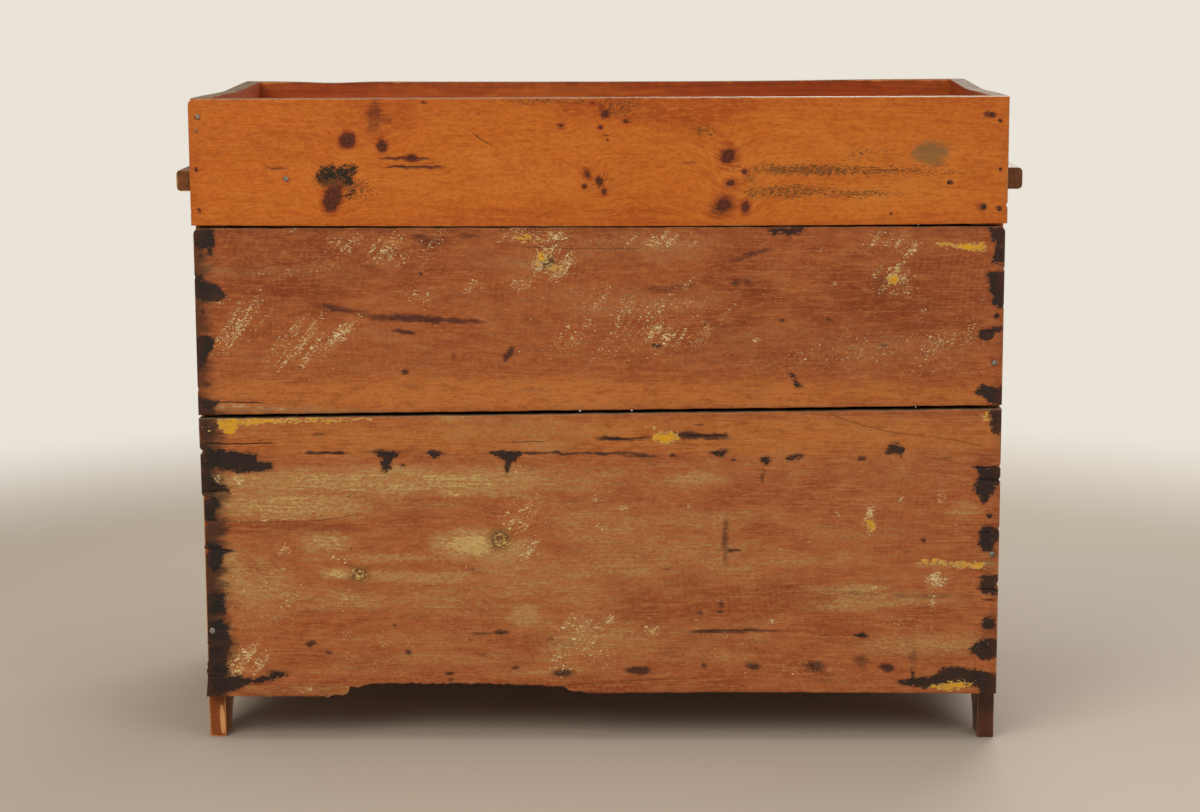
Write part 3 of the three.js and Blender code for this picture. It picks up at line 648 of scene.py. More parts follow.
# a pale leaf down the right foot, widest at its middle, where light falls: painted light
litLeafLook = {"tone": "#DE9F64", "heights": range(6, 44, 3), "below": 4, "length": 54, "half": 3.6}
for z in litLeafLook["heights"]:
    half = litLeafLook["half"] * math.sin(math.pi * (z + litLeafLook["below"]) / litLeafLook["length"])
    place = (513.2 + z / 30, 254.8, z)
    footStainsLightAndShade["right"].append((place, half * 0.6, half + 1.2, litLeafLook["tone"], 0.9, 0.1))

# what stood in the well has rubbed its floor and left rings and stains
wellTop = 794.0
wellWear = {
    "early": "#9C5C30", "late": "#7A401C", "glow": "#B47A48", "deep": "#5A2C14", "worn": "#7A4A2A",
    "grimeAmount": 0.6, "rough": 0.62, "coat": 0.0, "wearShare": 0.5,
    "rubs": [((-250.0, 40.0, wellTop), 118.0, 4.0, "#3E2012", 0.6),
             ((-205.0, -90.0, wellTop), 74.0, 3.0, "#45251A", 0.5),
             ((290.0, -60.0, wellTop), 92.0, 3.5, "#402214", 0.5)],
    "marks": [((-250.0, 40.0, wellTop), 30.0, 112.0, "#B07C4E", 0.4, 0.05),
              ((120.0, 110.0, wellTop), 10.0, 90.0, "#4A2413", 0.5, 0.0),
              ((300.0, -70.0, wellTop), 20.0, 86.0, "#AE7848", 0.3, 0.05)],
}
# the rims' grey is weathering together with a painted sheen of reflected light
trayRimGreyAndSheen = {"rim": "#7C6E56", "rimDark": "#574634"}

# faces without the finish: (axis, limit in mm, the side of it they lie on, what they have instead); the tray
# inside tone that the tray's inner faces have instead is darker partly as painted shade
backOfFront = (1, -232.0, 1, "bare")
panelBack = (1, boxInMm("door_panel_left")[0][1] + 1.5, 1, "bare")
wellSide = {label: (0, side * 532.0, -side, "tray inside") for side, label in sides}
caseSide = {label: (0, side * 511.5, -side, "bare") for side, label in sides}

# rows of (nodes, shares of knots, grain, finish, arris in mm, own values)
woodRows = [
    (["tray_front_board"], [0.4], "xzy", "shellac", 1.2, dict(
        trayRimGreyAndSheen, ringWidth=4.6, speckAmount=0.3, raw=(1, -234.0, 1, "tray inside"))),
    (["tray_side_board_right"], [0.25], "yzx", "shellac", 1.6, dict(trayRimGreyAndSheen, raw=wellSide["right"])),
    (["tray_side_board_left"], [0.3], "yzx", "shellac", 1.6, dict(trayRimGreyAndSheen, raw=wellSide["left"])),
    (["well_board_1", "well_board_2"], [0.35, 0.35], "xyz", "tray inside", 1.0, wellWear),
    (["well_board_3"], [0.45], "xyz", "tray inside", 1.0, wellWear),
    (["tray_batten_right", "tray_batten_left"], [0.1, 0.1], "yxz", "bare", 1.2, {}),
    (["tray_handle_right", "tray_handle_left"], [0.0, 0.0], "yzx", "hardwood", 0.0, {"wearWidth": 2.0}),
    (["end_board_right"], [0.4], "zyx", "shellac", 1.2, {
        "raw": caseSide["right"], "marks": footStainsLightAndShade["right"],
    }),
    (["end_board_left"], [0.45], "zyx", "shellac", 1.2, {
        "raw": caseSide["left"], "marks": footStainsLightAndShade["left"],
    }),
    (["frame_stile_right", "frame_stile_left"], [0.12, 0.18], "zxy", "shellac", 0.9, {"raw": backOfFront}),
    (["frame_stile_centre"], [0.2], "zxy", "shellac", 0.9, {"raw": backOfFront, "rubs": buttonRub}),
    (["frame_rail_top"], [0.25], "xzy", "shellac", 0.9, {"raw": backOfFront}),
    (["frame_rail_bottom"], [0.3], "xzy", "shellac", 1.1, {"raw": backOfFront, "grimeAmount": 0.55}),
    (["bottom_board_back", "bottom_board_front"], [0.45, 0.4], "xyz", "bare", 0.8, {"sawn": True}),
    (["shelf_board_back", "shelf_board_front"], [0.4, 0.35], "xyz", "bare", 0.8, {}),
    (["shelf_cleat_right", "shelf_cleat_left", "tray_guide_right", "tray_guide_left"], [0.05] * 4,
     "yzx", "bare", 0.8, {}),
    (["turn_button"], [0.0], "zxy", "hardwood", 0.9, {}),
]
for side, place in knobPlaces.items():
    touched = {"raw": backOfFront, "marks": [(place, 24.0, 80.0, "#5A2812", 0.5, -0.1)], "rubs": buttonRub}
    panelWood = {"knotSize": 9.5, "raw": panelBack, "ringWidth": 4.8, "pithAcross": -15.0}
    woodRows += [
        (["door_hinge_stile_" + side], [0.15], "zxy", "shellac", 0.8, {"raw": backOfFront}),
        (["door_knob_stile_" + side], [0.15], "zxy", "shellac", 0.8, touched),
        (["door_top_rail_" + side], [0.2], "xzy", "shellac", 0.8, {"raw": backOfFront}),
        (["door_bottom_rail_" + side], [0.3], "xzy", "shellac", 0.8, {
            "raw": backOfFront, "grimeAmount": 0.55,
        }),
        (["door_panel_" + side], [0.5], "zxy", "shellac", 0.6, panelWood),
    ]

order, seeds = 0, {"first": 1.3, "step": 2.17}
for nodes, shares, grain, finish, arris, own in woodRows:
    for node, knots in zip(nodes, shares):
        seed = seeds["first"] + order * seeds["step"]
        dress(node, pineMaterial(node, boxInMm(node), grain, finish, seed, dict(own, knots=knots)), arris)
        order += 1

rustyIron = ironMaterial("hinge iron", 0.15)
rubbedIron = ironMaterial("screw iron", 0.45)
for node in frame["nodes"]:
    if node.startswith("hinge_") or node == "turn_button_screw":
        dress(node, rustyIron)
print("wood and iron of the CAD nodes are dressed")


# what the photograph shows on the three boards that face it, in millimetres on the board's face:
# spots are (x, z, half length, half height, tilt where there is one, strength),
# outlines are the corners of a stain, cracks are (points, half width, strength)

trayMarks = {
    "shade": [
        (387, 824, 182, 39, 0.12), (-367, 782, 208, 52, 0.25), (127, 771, 260, 52, 0.15),
        (-55, 854, 117, 21, -0.35), (-133, 848, 78, 32, -0.3), (283, 836, 52, 39, -0.3),
        (50, 716, 262, 16, -0.25), (468, 732, 92, 39, 0.1), (-290, 724, 208, 21, 0.2),
    ],
    "smudges": [
        (290, 842, 12, 27, 4, 0.55), (278, 838, 12, 8, 0.45), (251, 786, 35, 2.6, 0.8),
        (241, 775, 39, 2.6, 0.8), (344, 757, 26, 10, 0.7), (321, 750, 16, 5.2, -10, 0.5),
        (363, 764, 9.2, 7.9, 0.4), (-3, 730, 26, 3.9, 0.15), (-211, 718, 78, 10, 0.15),
        (-55, 845, 78, 12, 0.22), (-94, 838, 52, 18, 10, 0.2), (50, 716, 170, 6.6, 0.22),
        (193, 711, 79, 5.2, 0.18), (419, 774, 16, 2.6, 0.5), (457, 807, 10, 6.5, 0.12),
        (101, 842, 169, 13, 0.15), (-132, 818, 18, 7.8, 0.3), (-120, 779, 13, 2.6, 0.5),
        (276, 765, 79, 5.2, 0.12), (-334, 860, 78, 7.8, 0.12), (-508, 841, 9, 3.9, 0.9),
        (-501, 721, 9, 6.4, 0.55),
    ],
    "grey": [
        (-434, 792, 25, 16, 0.8), (344, 758, 25, 9.2, 0.6),
    ],
    "pits": [
        (311, 746, 26, 18, 0.5), (346, 758, 26, 10, 0.9), (-270, 770, 78, 7.5, 1), (-350, 769, 91, 5.5, 0.8),
        (-441, 766, 52, 4.5, 0.5), (-250, 742, 60, 9, 0.8), (-335, 738, 52, 5, 0.8),
        (-198, 757, 10, 7.8, 0.6), (-354, 790, 39, 6.5, 0.45), (-206, 740, 10, 7.8, 0.8),
        (-140, 819, 16, 10, 0.6), (-153, 718, 13, 10, 0.5), (48, 860, 78, 3.9, 0.7), (-29, 851, 32, 16, 0.5),
        (166, 849, 260, 18, 0.12), (-3, 751, 26, 16, 0.35), (452, 863, 78, 2.6, 0.3),
    ],
    "knots": [
        (326, 810, 10.5, 9.8, 1), (281, 803, 7.9, 8.5, 0.9), (243, 787, 9.2, 5.2, 0.8),
        (347, 734, 11.8, 17.7, 20, 1), (48, 828, 6.5, 4.5, 0.6), (-10, 843, 6.5, 6.5, 0.8),
        (-5, 851, 5.2, 3.9, 0.5), (-4, 826, 3.2, 3.2, 0.9), (6, 857, 5.2, 3.2, 0.5),
        (13, 765, 6.6, 10.5, -15, 0.55), (-2, 756, 6.6, 6.6, 0.85), (18, 749, 3.9, 3.9, 0.8),
        (-8, 742, 3.9, 5.9, 0.8), (-17, 759, 3.9, 2, 0.4), (-169, 788, 14, 14, 25, 0.62),
        (-191, 768, 4.5, 4.5, 0.7), (-173, 753, 10, 7, 0.65), (-163, 723, 18, 14, -25, 0.65),
        (-192, 722, 8, 11, 0.65), (-382, 713, 2, 2, 0.9), (226, 859, 3.9, 2, 0.7), (154, 845, 2, 1.6, 0.7),
        (-37, 834, 5.2, 3.2, 0.6), (-11, 816, 5.2, 1.6, 0.6), (-13, 809, 1.9, 1.9, 0.8),
    ],
    "cracks": [
        ([(166, 822), (153, 812), (136, 801)], 0.6, 0.8), ([(285, 786), (251, 787), (216, 785)], 0.7, 0.6),
        ([(277, 774), (242, 776), (202, 775)], 0.7, 0.7), ([(432, 773), (402, 774)], 0.6, 0.5),
    ],
    "tar": [
        [(369, 763), (361, 772), (355, 776), (347, 777), (339, 773), (330, 777), (318, 777), (315, 772),
         (320, 765), (319, 757), (325, 753), (332, 758), (337, 762), (346, 761), (354, 758), (360, 757),
         (367, 760)],
        [(325, 741), (321, 746), (317, 744), (321, 737), (326, 733), (328, 736)],
    ],
}

upperMarks = {
    "shade": [
        (-2, 473, 612, 21, 0.6), (263, 480, 264, 26, 0.2), (-265, 559, 262, 52, -0.15),
        (393, 600, 185, 79, -0.05), (-2, 639, 393, 39, -0.1), (-395, 599, 105, 79, -0.25),
        (430, 640, 110, 60, -0.2), (-186, 612, 39, 79, -0.2), (155, 679, 262, 18, -0.15),
    ],
    "smudges": [
        (340, 588, 34, 5.3, 10, 0.6), (235, 575, 79, 5.3, 3, 0.75), (182, 572, 40, 4, 0.6),
        (258, 558, 14, 3.3, 8, 0.8), (256, 504, 5.3, 3.3, 0.95), (118, 527, 13, 4.6, -55, 0.8),
        (192, 527, 5.3, 5.3, 0.4), (366, 611, 16, 11, 0.25), (-77, 540, 4.6, 2.6, 0.9),
        (-179, 622, 6.5, 5.2, 0.7), (-196, 623, 6.5, 3.9, 0.5), (-240, 573, 6.5, 2, 0.7),
        (-303, 573, 5.2, 2, 0.7), (-208, 662, 29, 3.2, -12, 0.6), (-192, 655, 21, 2.6, -10, 0.5),
        (233, 684, 13, 3.9, 0.6), (220, 678, 26, 7.9, 0.4), (300, 645, 13, 2.6, 0.5),
        (234, 634, 3.9, 2.6, 0.8), (-376, 539, 7.9, 3.9, 0.5), (-81, 614, 39, 6.5, -5, 0.4),
        (-107, 617, 29, 5.2, -3, 0.4), (-55, 604, 79, 7.9, 0.2), (-369, 616, 10, 26, 0.3),
        (168, 684, 26, 3.9, 0.5), (123, 693, 7.9, 2.6, 0.5),
    ],
    "cream": [
        (431, 638, 92, 7.9, 0.35), (326, 650, 79, 26, 0.2), (102, 647, 79, 13, 0.3),
        (-55, 668, 104, 18, 0.3), (394, 547, 119, 40, 0.15), (103, 600, 157, 18, 0.15),
        (-55, 592, 92, 16, -6, 0.35), (-265, 533, 238, 32, 0.2), (423, 454, 80, 5.3, 0.6),
        (476, 458, 16, 4, 0.95), (446, 456, 6.6, 3.3, 0.95), (419, 454, 6.7, 3.3, 0.9),
        (501, 459, 6.7, 5.3, 0.9), (356, 451, 80, 3.3, 0.6), (330, 449, 40, 1.3, 0.9),
    ],
    "flecks": [
        (286, 673, 79, 16, 0.55), (352, 651, 53, 11, 0.35), (404, 692, 7.9, 5.3, 0.8),
        (336, 673, 6.6, 7.9, 0.9), (212, 679, 26, 18, 0.45), (265, 660, 39, 18, 0.6),
        (405, 640, 79, 11, 0.3), (406, 640, 5.3, 4, 0.9), (234, 607, 26, 10, 0.5), (168, 617, 18, 11, 0.55),
        (491, 561, 7.9, 45, 30, 0.7), (469, 567, 9.2, 53, 33, 0.85), (443, 577, 5.3, 40, 36, 0.55),
        (419, 537, 9.3, 50, 38, 0.9), (393, 545, 7.9, 48, 40, 0.85), (370, 537, 9.2, 40, 42, 0.95),
        (346, 552, 9.2, 37, 44, 0.8), (325, 563, 5.3, 24, 46, 0.5), (-134, 586, 5.2, 39, 34, 0.35),
        (-162, 573, 5.2, 34, 36, 0.3), (-265, 533, 6.6, 40, 36, 0.35), (-311, 540, 5.2, 39, 36, 0.3),
        (-354, 535, 6.5, 39, 36, 0.35), (-403, 546, 6.6, 44, 36, 0.4), (-449, 539, 6.5, 39, 36, 0.4),
        (-481, 552, 7.9, 34, 36, 0.45), (11, 567, 6.6, 45, 36, 0.4), (-22, 576, 6.6, 45, 36, 0.4),
        (51, 560, 5.2, 39, 36, 0.3), (505, 601, 18, 11, 0.5), (395, 501, 79, 11, 0.25),
        (315, 507, 79, 7.9, 0.2), (76, 686, 47, 13, 0.8), (57, 650, 31, 26, 0.75), (96, 620, 26, 11, 0.6),
        (-68, 678, 65, 12, 0.55), (-92, 681, 10, 10, 0.9), (-129, 673, 10, 10, 0.7),
        (-16, 677, 52, 6.6, 0.4), (-55, 586, 79, 18, -10, 0.5), (-2, 600, 66, 21, 0.45),
        (-74, 556, 21, 13, 0.85), (-107, 549, 32, 16, 0.8), (-138, 562, 13, 13, 0.8),
        (-120, 620, 21, 7.9, -20, 0.6), (-28, 547, 79, 32, 0.35), (-144, 631, 10, 6.5, -30, 0.6),
        (11, 560, 79, 26, -20, 0.35), (-368, 678, 21, 13, 0.8), (-404, 668, 18, 16, 0.9),
        (-386, 632, 24, 16, 0.8), (-376, 612, 21, 7.9, 0.6), (-406, 612, 13, 7.8, 0.6),
        (-310, 620, 6.5, 3.9, 0.9), (-345, 671, 7.8, 7.8, 0.5), (-288, 664, 6.6, 3.9, 0.6),
        (-424, 587, 5.2, 3.9, 0.7), (-505, 600, 5.2, 3.9, 0.9), (-291, 526, 106, 21, -12, 0.3),
        (-422, 539, 92, 21, -8, 0.4), (-481, 548, 34, 16, 0.4), (-403, 533, 53, 13, 0.35),
        (-173, 513, 79, 13, 0.18), (25, 504, 79, 7.9, 0.15), (-206, 546, 5.3, 3.3, 0.9),
        (-436, 506, 66, 11, 0.25), (196, 547, 106, 53, 0.12), (51, 547, 79, 40, 0.15),
        (-264, 599, 105, 39, 0.1), (-134, 599, 79, 39, 0.15),
    ],
    "yellow": [
        (63, 647, 24, 18, 0.9), (75, 684, 34, 10, 0.7), (-386, 636, 16, 13, 0.8), (-206, 546, 5.3, 2.6, 1),
        (167, 612, 5.2, 3.9, 0.9), (406, 640, 4, 2.6, 0.9), (59, 683, 5.2, 7.8, 30, 0.9),
        (402, 690, 3.9, 3.9, 0.5), (-404, 668, 13, 10, 0.4),
    ],
    "knots": [
        (65, 649, 10.5, 10.5, 0.7),
    ],
    "ochre": [
        [(-443, 673), (-464, 674), (-490, 673), (-505, 674), (-506, 669), (-500, 662), (-490, 664),
         (-467, 668), (-447, 670)],
        [(80, 661), (72, 662), (70, 655), (75, 650), (76, 643), (80, 646)],
        [(64, 643), (55, 646), (51, 641), (56, 636), (64, 638)],
        [(106, 682), (92, 686), (90, 682), (99, 677)],
        [(-379, 627), (-389, 633), (-394, 626), (-388, 618), (-380, 621)],
    ],
    "tar": [
        [(534, 698), (503, 695), (503, 680), (505, 671), (505, 662), (508, 659), (510, 662), (511, 670),
         (516, 670), (523, 669), (530, 672), (536, 681)],
        [(535, 634), (522, 633), (516, 625), (502, 619), (492, 612), (492, 604), (501, 600), (510, 601),
         (520, 598), (529, 603), (536, 608)],
        [(535, 552), (512, 552), (508, 549), (509, 541), (514, 530), (519, 520), (523, 511), (527, 508),
         (533, 507)],
        [(534, 471), (522, 469), (508, 466), (503, 462), (508, 455), (513, 446), (533, 444)],
        [(-510, 694), (-534, 694), (-535, 650), (-531, 645), (-517, 646), (-515, 650), (-518, 658),
         (-520, 667), (-516, 680)],
        [(-507, 635), (-517, 633), (-522, 636), (-535, 635), (-535, 590), (-525, 589), (-517, 593),
         (-516, 605), (-513, 612), (-510, 622)],
        [(-501, 556), (-509, 560), (-520, 562), (-528, 563), (-529, 560), (-524, 557), (-518, 549),
         (-509, 546), (-502, 549)],
        [(-499, 483), (-504, 488), (-514, 485), (-527, 483), (-535, 481), (-535, 458), (-526, 458),
         (-520, 462), (-514, 464), (-508, 470), (-499, 475)],
        [(-222, 694), (-268, 694), (-263, 688), (-256, 685), (-253, 682), (-250, 685), (-239, 687),
         (-228, 684), (-222, 688)],
        [(-252, 502), (-258, 499), (-262, 496), (-257, 495), (-253, 497)],
        [(-255, 492), (-262, 491), (-268, 485), (-265, 482), (-257, 484)],
    ],
    "cracks": [
        ([(507, 464), (482, 464), (442, 463)], 0.8, 0.9), ([(532, 634), (517, 627)], 0.5, 0.4),
        ([(102, 670), (30, 667), (-55, 667)], 0.5, 0.5), ([(-448, 570), (-507, 567)], 0.5, 0.3),
    ],
}

lowerMarks = {
    "shade": [
        (150, 70, 380, 14, -0.4), (40, 118, 560, 60, -0.13), (-1, 413, 607, 29, 0.45),
        (-266, 426, 264, 26, 0.25), (397, 413, 160, 35, 0.15), (52, 386, 266, 11, -0.2),
        (426, 293, 94, 8, -0.4), (-134, 305, 399, 40, -0.05), (403, 154, 161, 27, 0.15),
        (-27, 72, 670, 11, 0.1), (-268, 196, 213, 32, -0.15), (159, 332, 402, 54, -0.05),
        (133, 209, 402, 54, -0.1), (-214, 332, 80, 40, -0.12), (-399, 332, 106, 53, 0.05),
    ],
    "smudges": [
        (375, 396, 24, 2.1, 0.9), (348, 396, 16, 1.9, 0.8), (283, 396, 35, 2.7, 0.6),
        (218, 394, 27, 2.7, 0.6), (373, 420, 13, 2.7, 4, 0.5), (259, 378, 4, 2.7, 0.8),
        (68, 395, 80, 2.1, 0.85), (-1, 395, 53, 1.9, 0.9), (-54, 391, 24, 1.9, 0.8),
        (-97, 391, 6.6, 2.1, 0.9), (-74, 380, 4, 2, 0.7), (-132, 432, 9.2, 1.8, 0.7),
        (-160, 397, 16, 4, -10, 0.7), (-178, 386, 5.3, 2.6, 0.8), (-217, 364, 2.7, 11, 0.6),
        (-347, 386, 5.3, 4, 0.7), (-451, 388, 20, 1.6, 0.6), (-168, 278, 5.3, 35, 0.55),
        (-178, 263, 11, 2.1, 0.9), (-90, 238, 6.7, 2.7, 0.5), (-169, 263, 16, 4, 0.5),
        (-176, 153, 62, 3.2, 0.6), (-150, 152, 38, 2.1, 0.7), (-301, 148, 8, 1.9, 0.7),
        (-351, 148, 8, 2.4, 0.9), (134, 152, 11, 2.7, 0.9), (161, 150, 19, 2.7, 0.6),
        (388, 135, 6.7, 5.4, -30, 0.7), (364, 122, 4.1, 2.7, 0.7), (258, 124, 4, 5.4, 0.7),
        (274, 161, 4.1, 4.1, 0.5), (202, 94, 5.4, 2.7, 0.8), (202, 85, 5.4, 2.7, 0.6),
        (50, 95, 14, 5.4, 0.85), (-50, 99, 15, 6, 1), (-25, 414, 32, 2.4, 2, 0.95),
        (-130, 418, 40, 4, 2, 1.1), (-160, 419, 12, 3, 0.9), (113, 101, 6.7, 2.7, 0.8),
        (-205, 105, 11, 6, 0.75), (-289, 104, 15, 8, 0.7), (-295, 91, 21, 11, 0.3),
        (-351, 111, 13, 9.4, 0.45), (-384, 102, 9.4, 5.4, 0.85), (-140, 105, 5.4, 3.4, 0.7),
        (-421, 113, 6.7, 24, 0.35), (-349, 205, 35, 4, 0.35), (-401, 201, 13, 4, 0.45),
        (-451, 201, 27, 5.3, 0.4), (-441, 201, 43, 4, 0.35), (-431, 278, 3.3, 2.7, 1),
        (-408, 262, 6.7, 1.6, 0.6), (-134, 179, 5.4, 4, 0.6), (-161, 179, 5.3, 2.7, 0.7),
        (-164, 189, 3.4, 5.4, 0.6), (438, 95, 22, 4.1, 0.6), (174, 140, 5.4, 4, 0.3),
        (169, 238, 6.7, 2, 0.5), (67, 143, 5.4, 4, 0.5), (158, 120, 6.7, 4, 0.35), (132, 313, 80, 2.7, 0.25),
        (-481, 201, 40, 6.7, 0.2), (-518, 359, 18, 4, 0.4), (-510, 386, 16, 6.6, 0.4),
        (-522, 148, 13, 33, 0.35), (-513, 250, 16, 40, 0.3), (516, 196, 16, 122, 0.35),
        (523, 427, 13, 16, 0.7), (522, 126, 22, 54, 0.35), (464, 389, 40, 11, 0.3),
    ],
    "cream": [
        (265, 357, 212, 19, 0.85), (52, 359, 93, 19, 0.35), (412, 325, 106, 19, 0.85),
        (465, 359, 53, 13, 0.7), (239, 325, 80, 11, 0.3), (367, 274, 32, 15, 0.75), (173, 271, 45, 19, 1.2),
        (133, 264, 40, 16, 0.8), (347, 231, 24, 6.7, 1.05), (240, 226, 80, 8, 0.55),
        (293, 253, 120, 5.3, 0.45), (455, 216, 48, 43, 0.5), (488, 230, 24, 40, 0.6),
        (362, 196, 121, 19, 0.35), (174, 196, 161, 19, 0.25), (100, 175, 20, 16, 0.6),
        (53, 223, 160, 53, 0.25), (-81, 250, 120, 32, 0.4), (-27, 278, 80, 32, 0.3),
        (-134, 359, 40, 11, 0.45), (-14, 366, 21, 6.6, 0.4), (-121, 305, 93, 13, 0.35),
        (104, 426, 79, 13, 0.3), (78, 406, 40, 11, 0.35), (171, 444, 79, 11, 0.2), (-321, 209, 66, 8, 0.45),
        (-374, 196, 106, 11, 0.45), (-321, 189, 53, 8, 0.5), (-415, 134, 93, 16, 0.5),
        (-214, 223, 80, 16, 0.2), (0, 141, 107, 27, 0.3), (-81, 141, 121, 30, 0.22),
        (202, 113, 162, 11, 0.3), (336, 99, 81, 8.1, 0.25), (67, 99, 80, 11, 0.3),
        (-267, 250, 120, 13, 0.25), (-213, 372, 79, 16, 0.15), (12, 318, 80, 21, 0.3),
        (242, 140, 107, 11, 0.25), (-485, 318, 26, 11, 0.4), (-467, 244, 50, 4, 0.7),
        (-320, 284, 80, 13, 0.25), (400, 291, 53, 8, 0.25), (-148, 120, 80, 16, 0.2),
        (405, 71, 108, 6.8, 0.25),
    ],
    "flecks": [
        (78, 464, 26, 5.3, 0.3), (471, 113, 30, 22, -30, 0.8), (490, 96, 16, 16, -40, 0.9),
        (485, 107, 11, 16, 30, 0.7), (106, 312, 35, 27, 0.55), (95, 267, 19, 19, 0.7),
        (26, 161, 35, 16, 0.65), (-16, 165, 11, 11, 0.9), (-71, 153, 12, 9.4, 0.95),
        (13, 134, 40, 19, 50, 0.5), (54, 120, 27, 21, 50, 0.45), (335, 193, 19, 13, 0.5),
        (347, 250, 19, 11, 0.4), (423, 267, 11, 11, 0.7), (7, 335, 6.7, 6.7, 0.9), (-1, 294, 11, 5.3, 0.7),
        (-30, 321, 8, 6.7, 0.6), (-119, 321, 4, 4, 0.9), (-400, 334, 4, 4, 0.9), (-317, 313, 4, 4, 0.9),
        (-360, 305, 8, 19, 0.9), (-453, 338, 7.9, 13, 0.5), (-472, 298, 4, 5.3, 1), (-487, 280, 8, 4, 0.6),
        (-450, 223, 13, 12, 0.95), (-445, 196, 5.3, 11, 0.8), (-357, 209, 13, 4, 0.8),
        (-374, 212, 19, 4, 0.5), (-134, 298, 13, 5.3, 0.3), (-228, 168, 11, 5.4, 0.7),
        (-254, 171, 21, 8, 0.3), (-268, 99, 80, 11, 0.3), (-121, 141, 80, 54, 0.18), (336, 127, 81, 40, 0.2),
        (442, 196, 67, 40, 0.35), (39, 359, 13, 11, 0.3), (200, 250, 80, 40, 0.2), (405, 71, 27, 8.1, 0.4),
        (201, 161, 80, 27, 0.2), (-401, 161, 54, 16, 0.25), (484, 157, 16, 4.1, 0.7), (118, 373, 19, 8, 0.3),
        (526, 305, 11, 16, 0.3), (508, 362, 5.4, 6.7, 1), (478, 359, 8, 6.7, 0.7),
    ],
    "yellow": [
        (194, 340, 19, 4, 0.7), (460, 304, 35, 2, -3, 0.9), (413, 306, 19, 2, 0.9), (160, 269, 24, 11, 0.8),
        (130, 276, 12, 12, 0.9), (323, 230, 12, 9.4, 0.8), (485, 106, 19, 16, 0.5), (-90, 416, 16, 7.9, 1),
        (-68, 429, 9.2, 4, 0.7), (-163, 429, 6.6, 4, 0.6), (-228, 168, 6.7, 3.4, 0.9),
        (-280, 275, 4, 3.3, 1), (-242, 265, 4, 4, 0.9), (-357, 322, 5, 9, 0.9), (-362, 310, 4, 7, 0.9),
        (-450, 223, 12, 9.3, 0.7), (-357, 208, 8, 2.7, 0.8), (490, 427, 40, 5.3, 0.6),
        (-483, 75, 40, 4, 0.5), (508, 362, 4, 4, 0.4), (-318, 448, 16, 4, 0.5), (-71, 152, 8, 5.4, 0.3),
    ],
    "pits": [
        (-1, 395, 106, 5.3, 0.6), (-160, 397, 21, 11, 0.7), (238, 393, 80, 8, 0.5), (521, 168, 19, 81, 0.5),
        (-519, 305, 13, 119, 0.4), (-508, 141, 13, 53, 0.4), (211, 417, 13, 8, 0.4),
        (105, 396, 40, 5.3, 0.5),
    ],
    "knots": [
        (133, 279, 14, 15, 20, 0.8), (322, 230, 13, 12, 0.8), (-458, 227, 8, 6.6, 0.3),
    ],
    "ochre": [
        [(508, 442), (414, 442), (332, 443), (300, 442), (330, 440), (347, 438), (396, 438), (425, 437),
         (444, 436), (458, 434), (466, 430), (474, 433), (482, 426), (493, 421), (500, 424), (504, 431)],
        [(-74, 418), (-81, 422), (-102, 421), (-107, 416), (-102, 410), (-89, 408), (-78, 411)],
        [(-441, 77), (-458, 81), (-485, 83), (-504, 80), (-489, 75), (-462, 73)],
        [(-507, 447), (-514, 449), (-516, 439), (-510, 436)],
        [(-354, 306), (-364, 304), (-367, 296), (-364, 290), (-357, 292), (-353, 298)],
        [(-417, 249), (-438, 249), (-467, 246), (-509, 246), (-512, 242), (-505, 239), (-482, 240),
         (-452, 244), (-425, 246)],
    ],
    "tar": [
        [(536, 407), (518, 405), (508, 399), (492, 399), (469, 397), (458, 392), (456, 386), (445, 384),
         (436, 382), (435, 373), (446, 370), (468, 370), (487, 371), (502, 373), (511, 376), (520, 371),
         (517, 363), (513, 358), (502, 354), (495, 348), (491, 342), (536, 342)],
        [(536, 338), (510, 336), (505, 327), (513, 317), (513, 304), (536, 304)],
        [(534, 277), (521, 275), (512, 272), (503, 266), (492, 262), (505, 259), (505, 248), (509, 239),
         (517, 233), (520, 239), (528, 243), (534, 254)],
        [(535, 204), (503, 202), (501, 193), (503, 179), (513, 175), (534, 175)],
        [(534, 171), (519, 168), (507, 169), (502, 162), (494, 166), (500, 154), (495, 136), (503, 123),
         (503, 107), (498, 100), (506, 90), (517, 88), (528, 90), (535, 103)],
        [(534, 88), (509, 90), (490, 90), (468, 88), (452, 90), (437, 96), (422, 92), (441, 84), (472, 80),
         (491, 72), (510, 64), (533, 62)],
        [(-514, 452), (-535, 451), (-535, 428), (-526, 421), (-520, 426), (-516, 435)],
        [(-495, 377), (-527, 376), (-536, 374), (-533, 362), (-537, 356), (-522, 350), (-526, 347),
         (-516, 333), (-509, 329), (-503, 339), (-495, 345), (-499, 352), (-506, 362)],
        [(-508, 296), (-529, 294), (-538, 284), (-525, 273), (-522, 261), (-510, 263), (-504, 271),
         (-506, 284)],
        [(-509, 228), (-528, 228), (-530, 224), (-528, 214), (-530, 208), (-525, 203), (-513, 206),
         (-505, 210), (-510, 218)],
        [(-512, 171), (-529, 171), (-530, 161), (-524, 155), (-514, 157), (-509, 165)],
        [(-499, 134), (-510, 140), (-537, 142), (-536, 120), (-519, 114), (-505, 118), (-497, 124)],
        [(-396, 82), (-416, 86), (-417, 102), (-423, 88), (-446, 90), (-461, 102), (-484, 104), (-511, 98),
         (-534, 92), (-535, 64), (-512, 66), (-500, 76), (-473, 80), (-435, 76), (-408, 78)],
        [(299, 396), (288, 398), (273, 398), (266, 393), (272, 389), (276, 387), (278, 374), (283, 370),
         (288, 372), (289, 383), (285, 389), (296, 392)],
        [(143, 397), (128, 398), (107, 396), (105, 392), (111, 387), (117, 383), (117, 373), (121, 366),
         (127, 370), (127, 379), (124, 384), (136, 389)],
        [(228, 397), (213, 397), (208, 393), (215, 388), (223, 390)],
        [(-153, 395), (-167, 398), (-169, 393), (-163, 389), (-155, 391)],
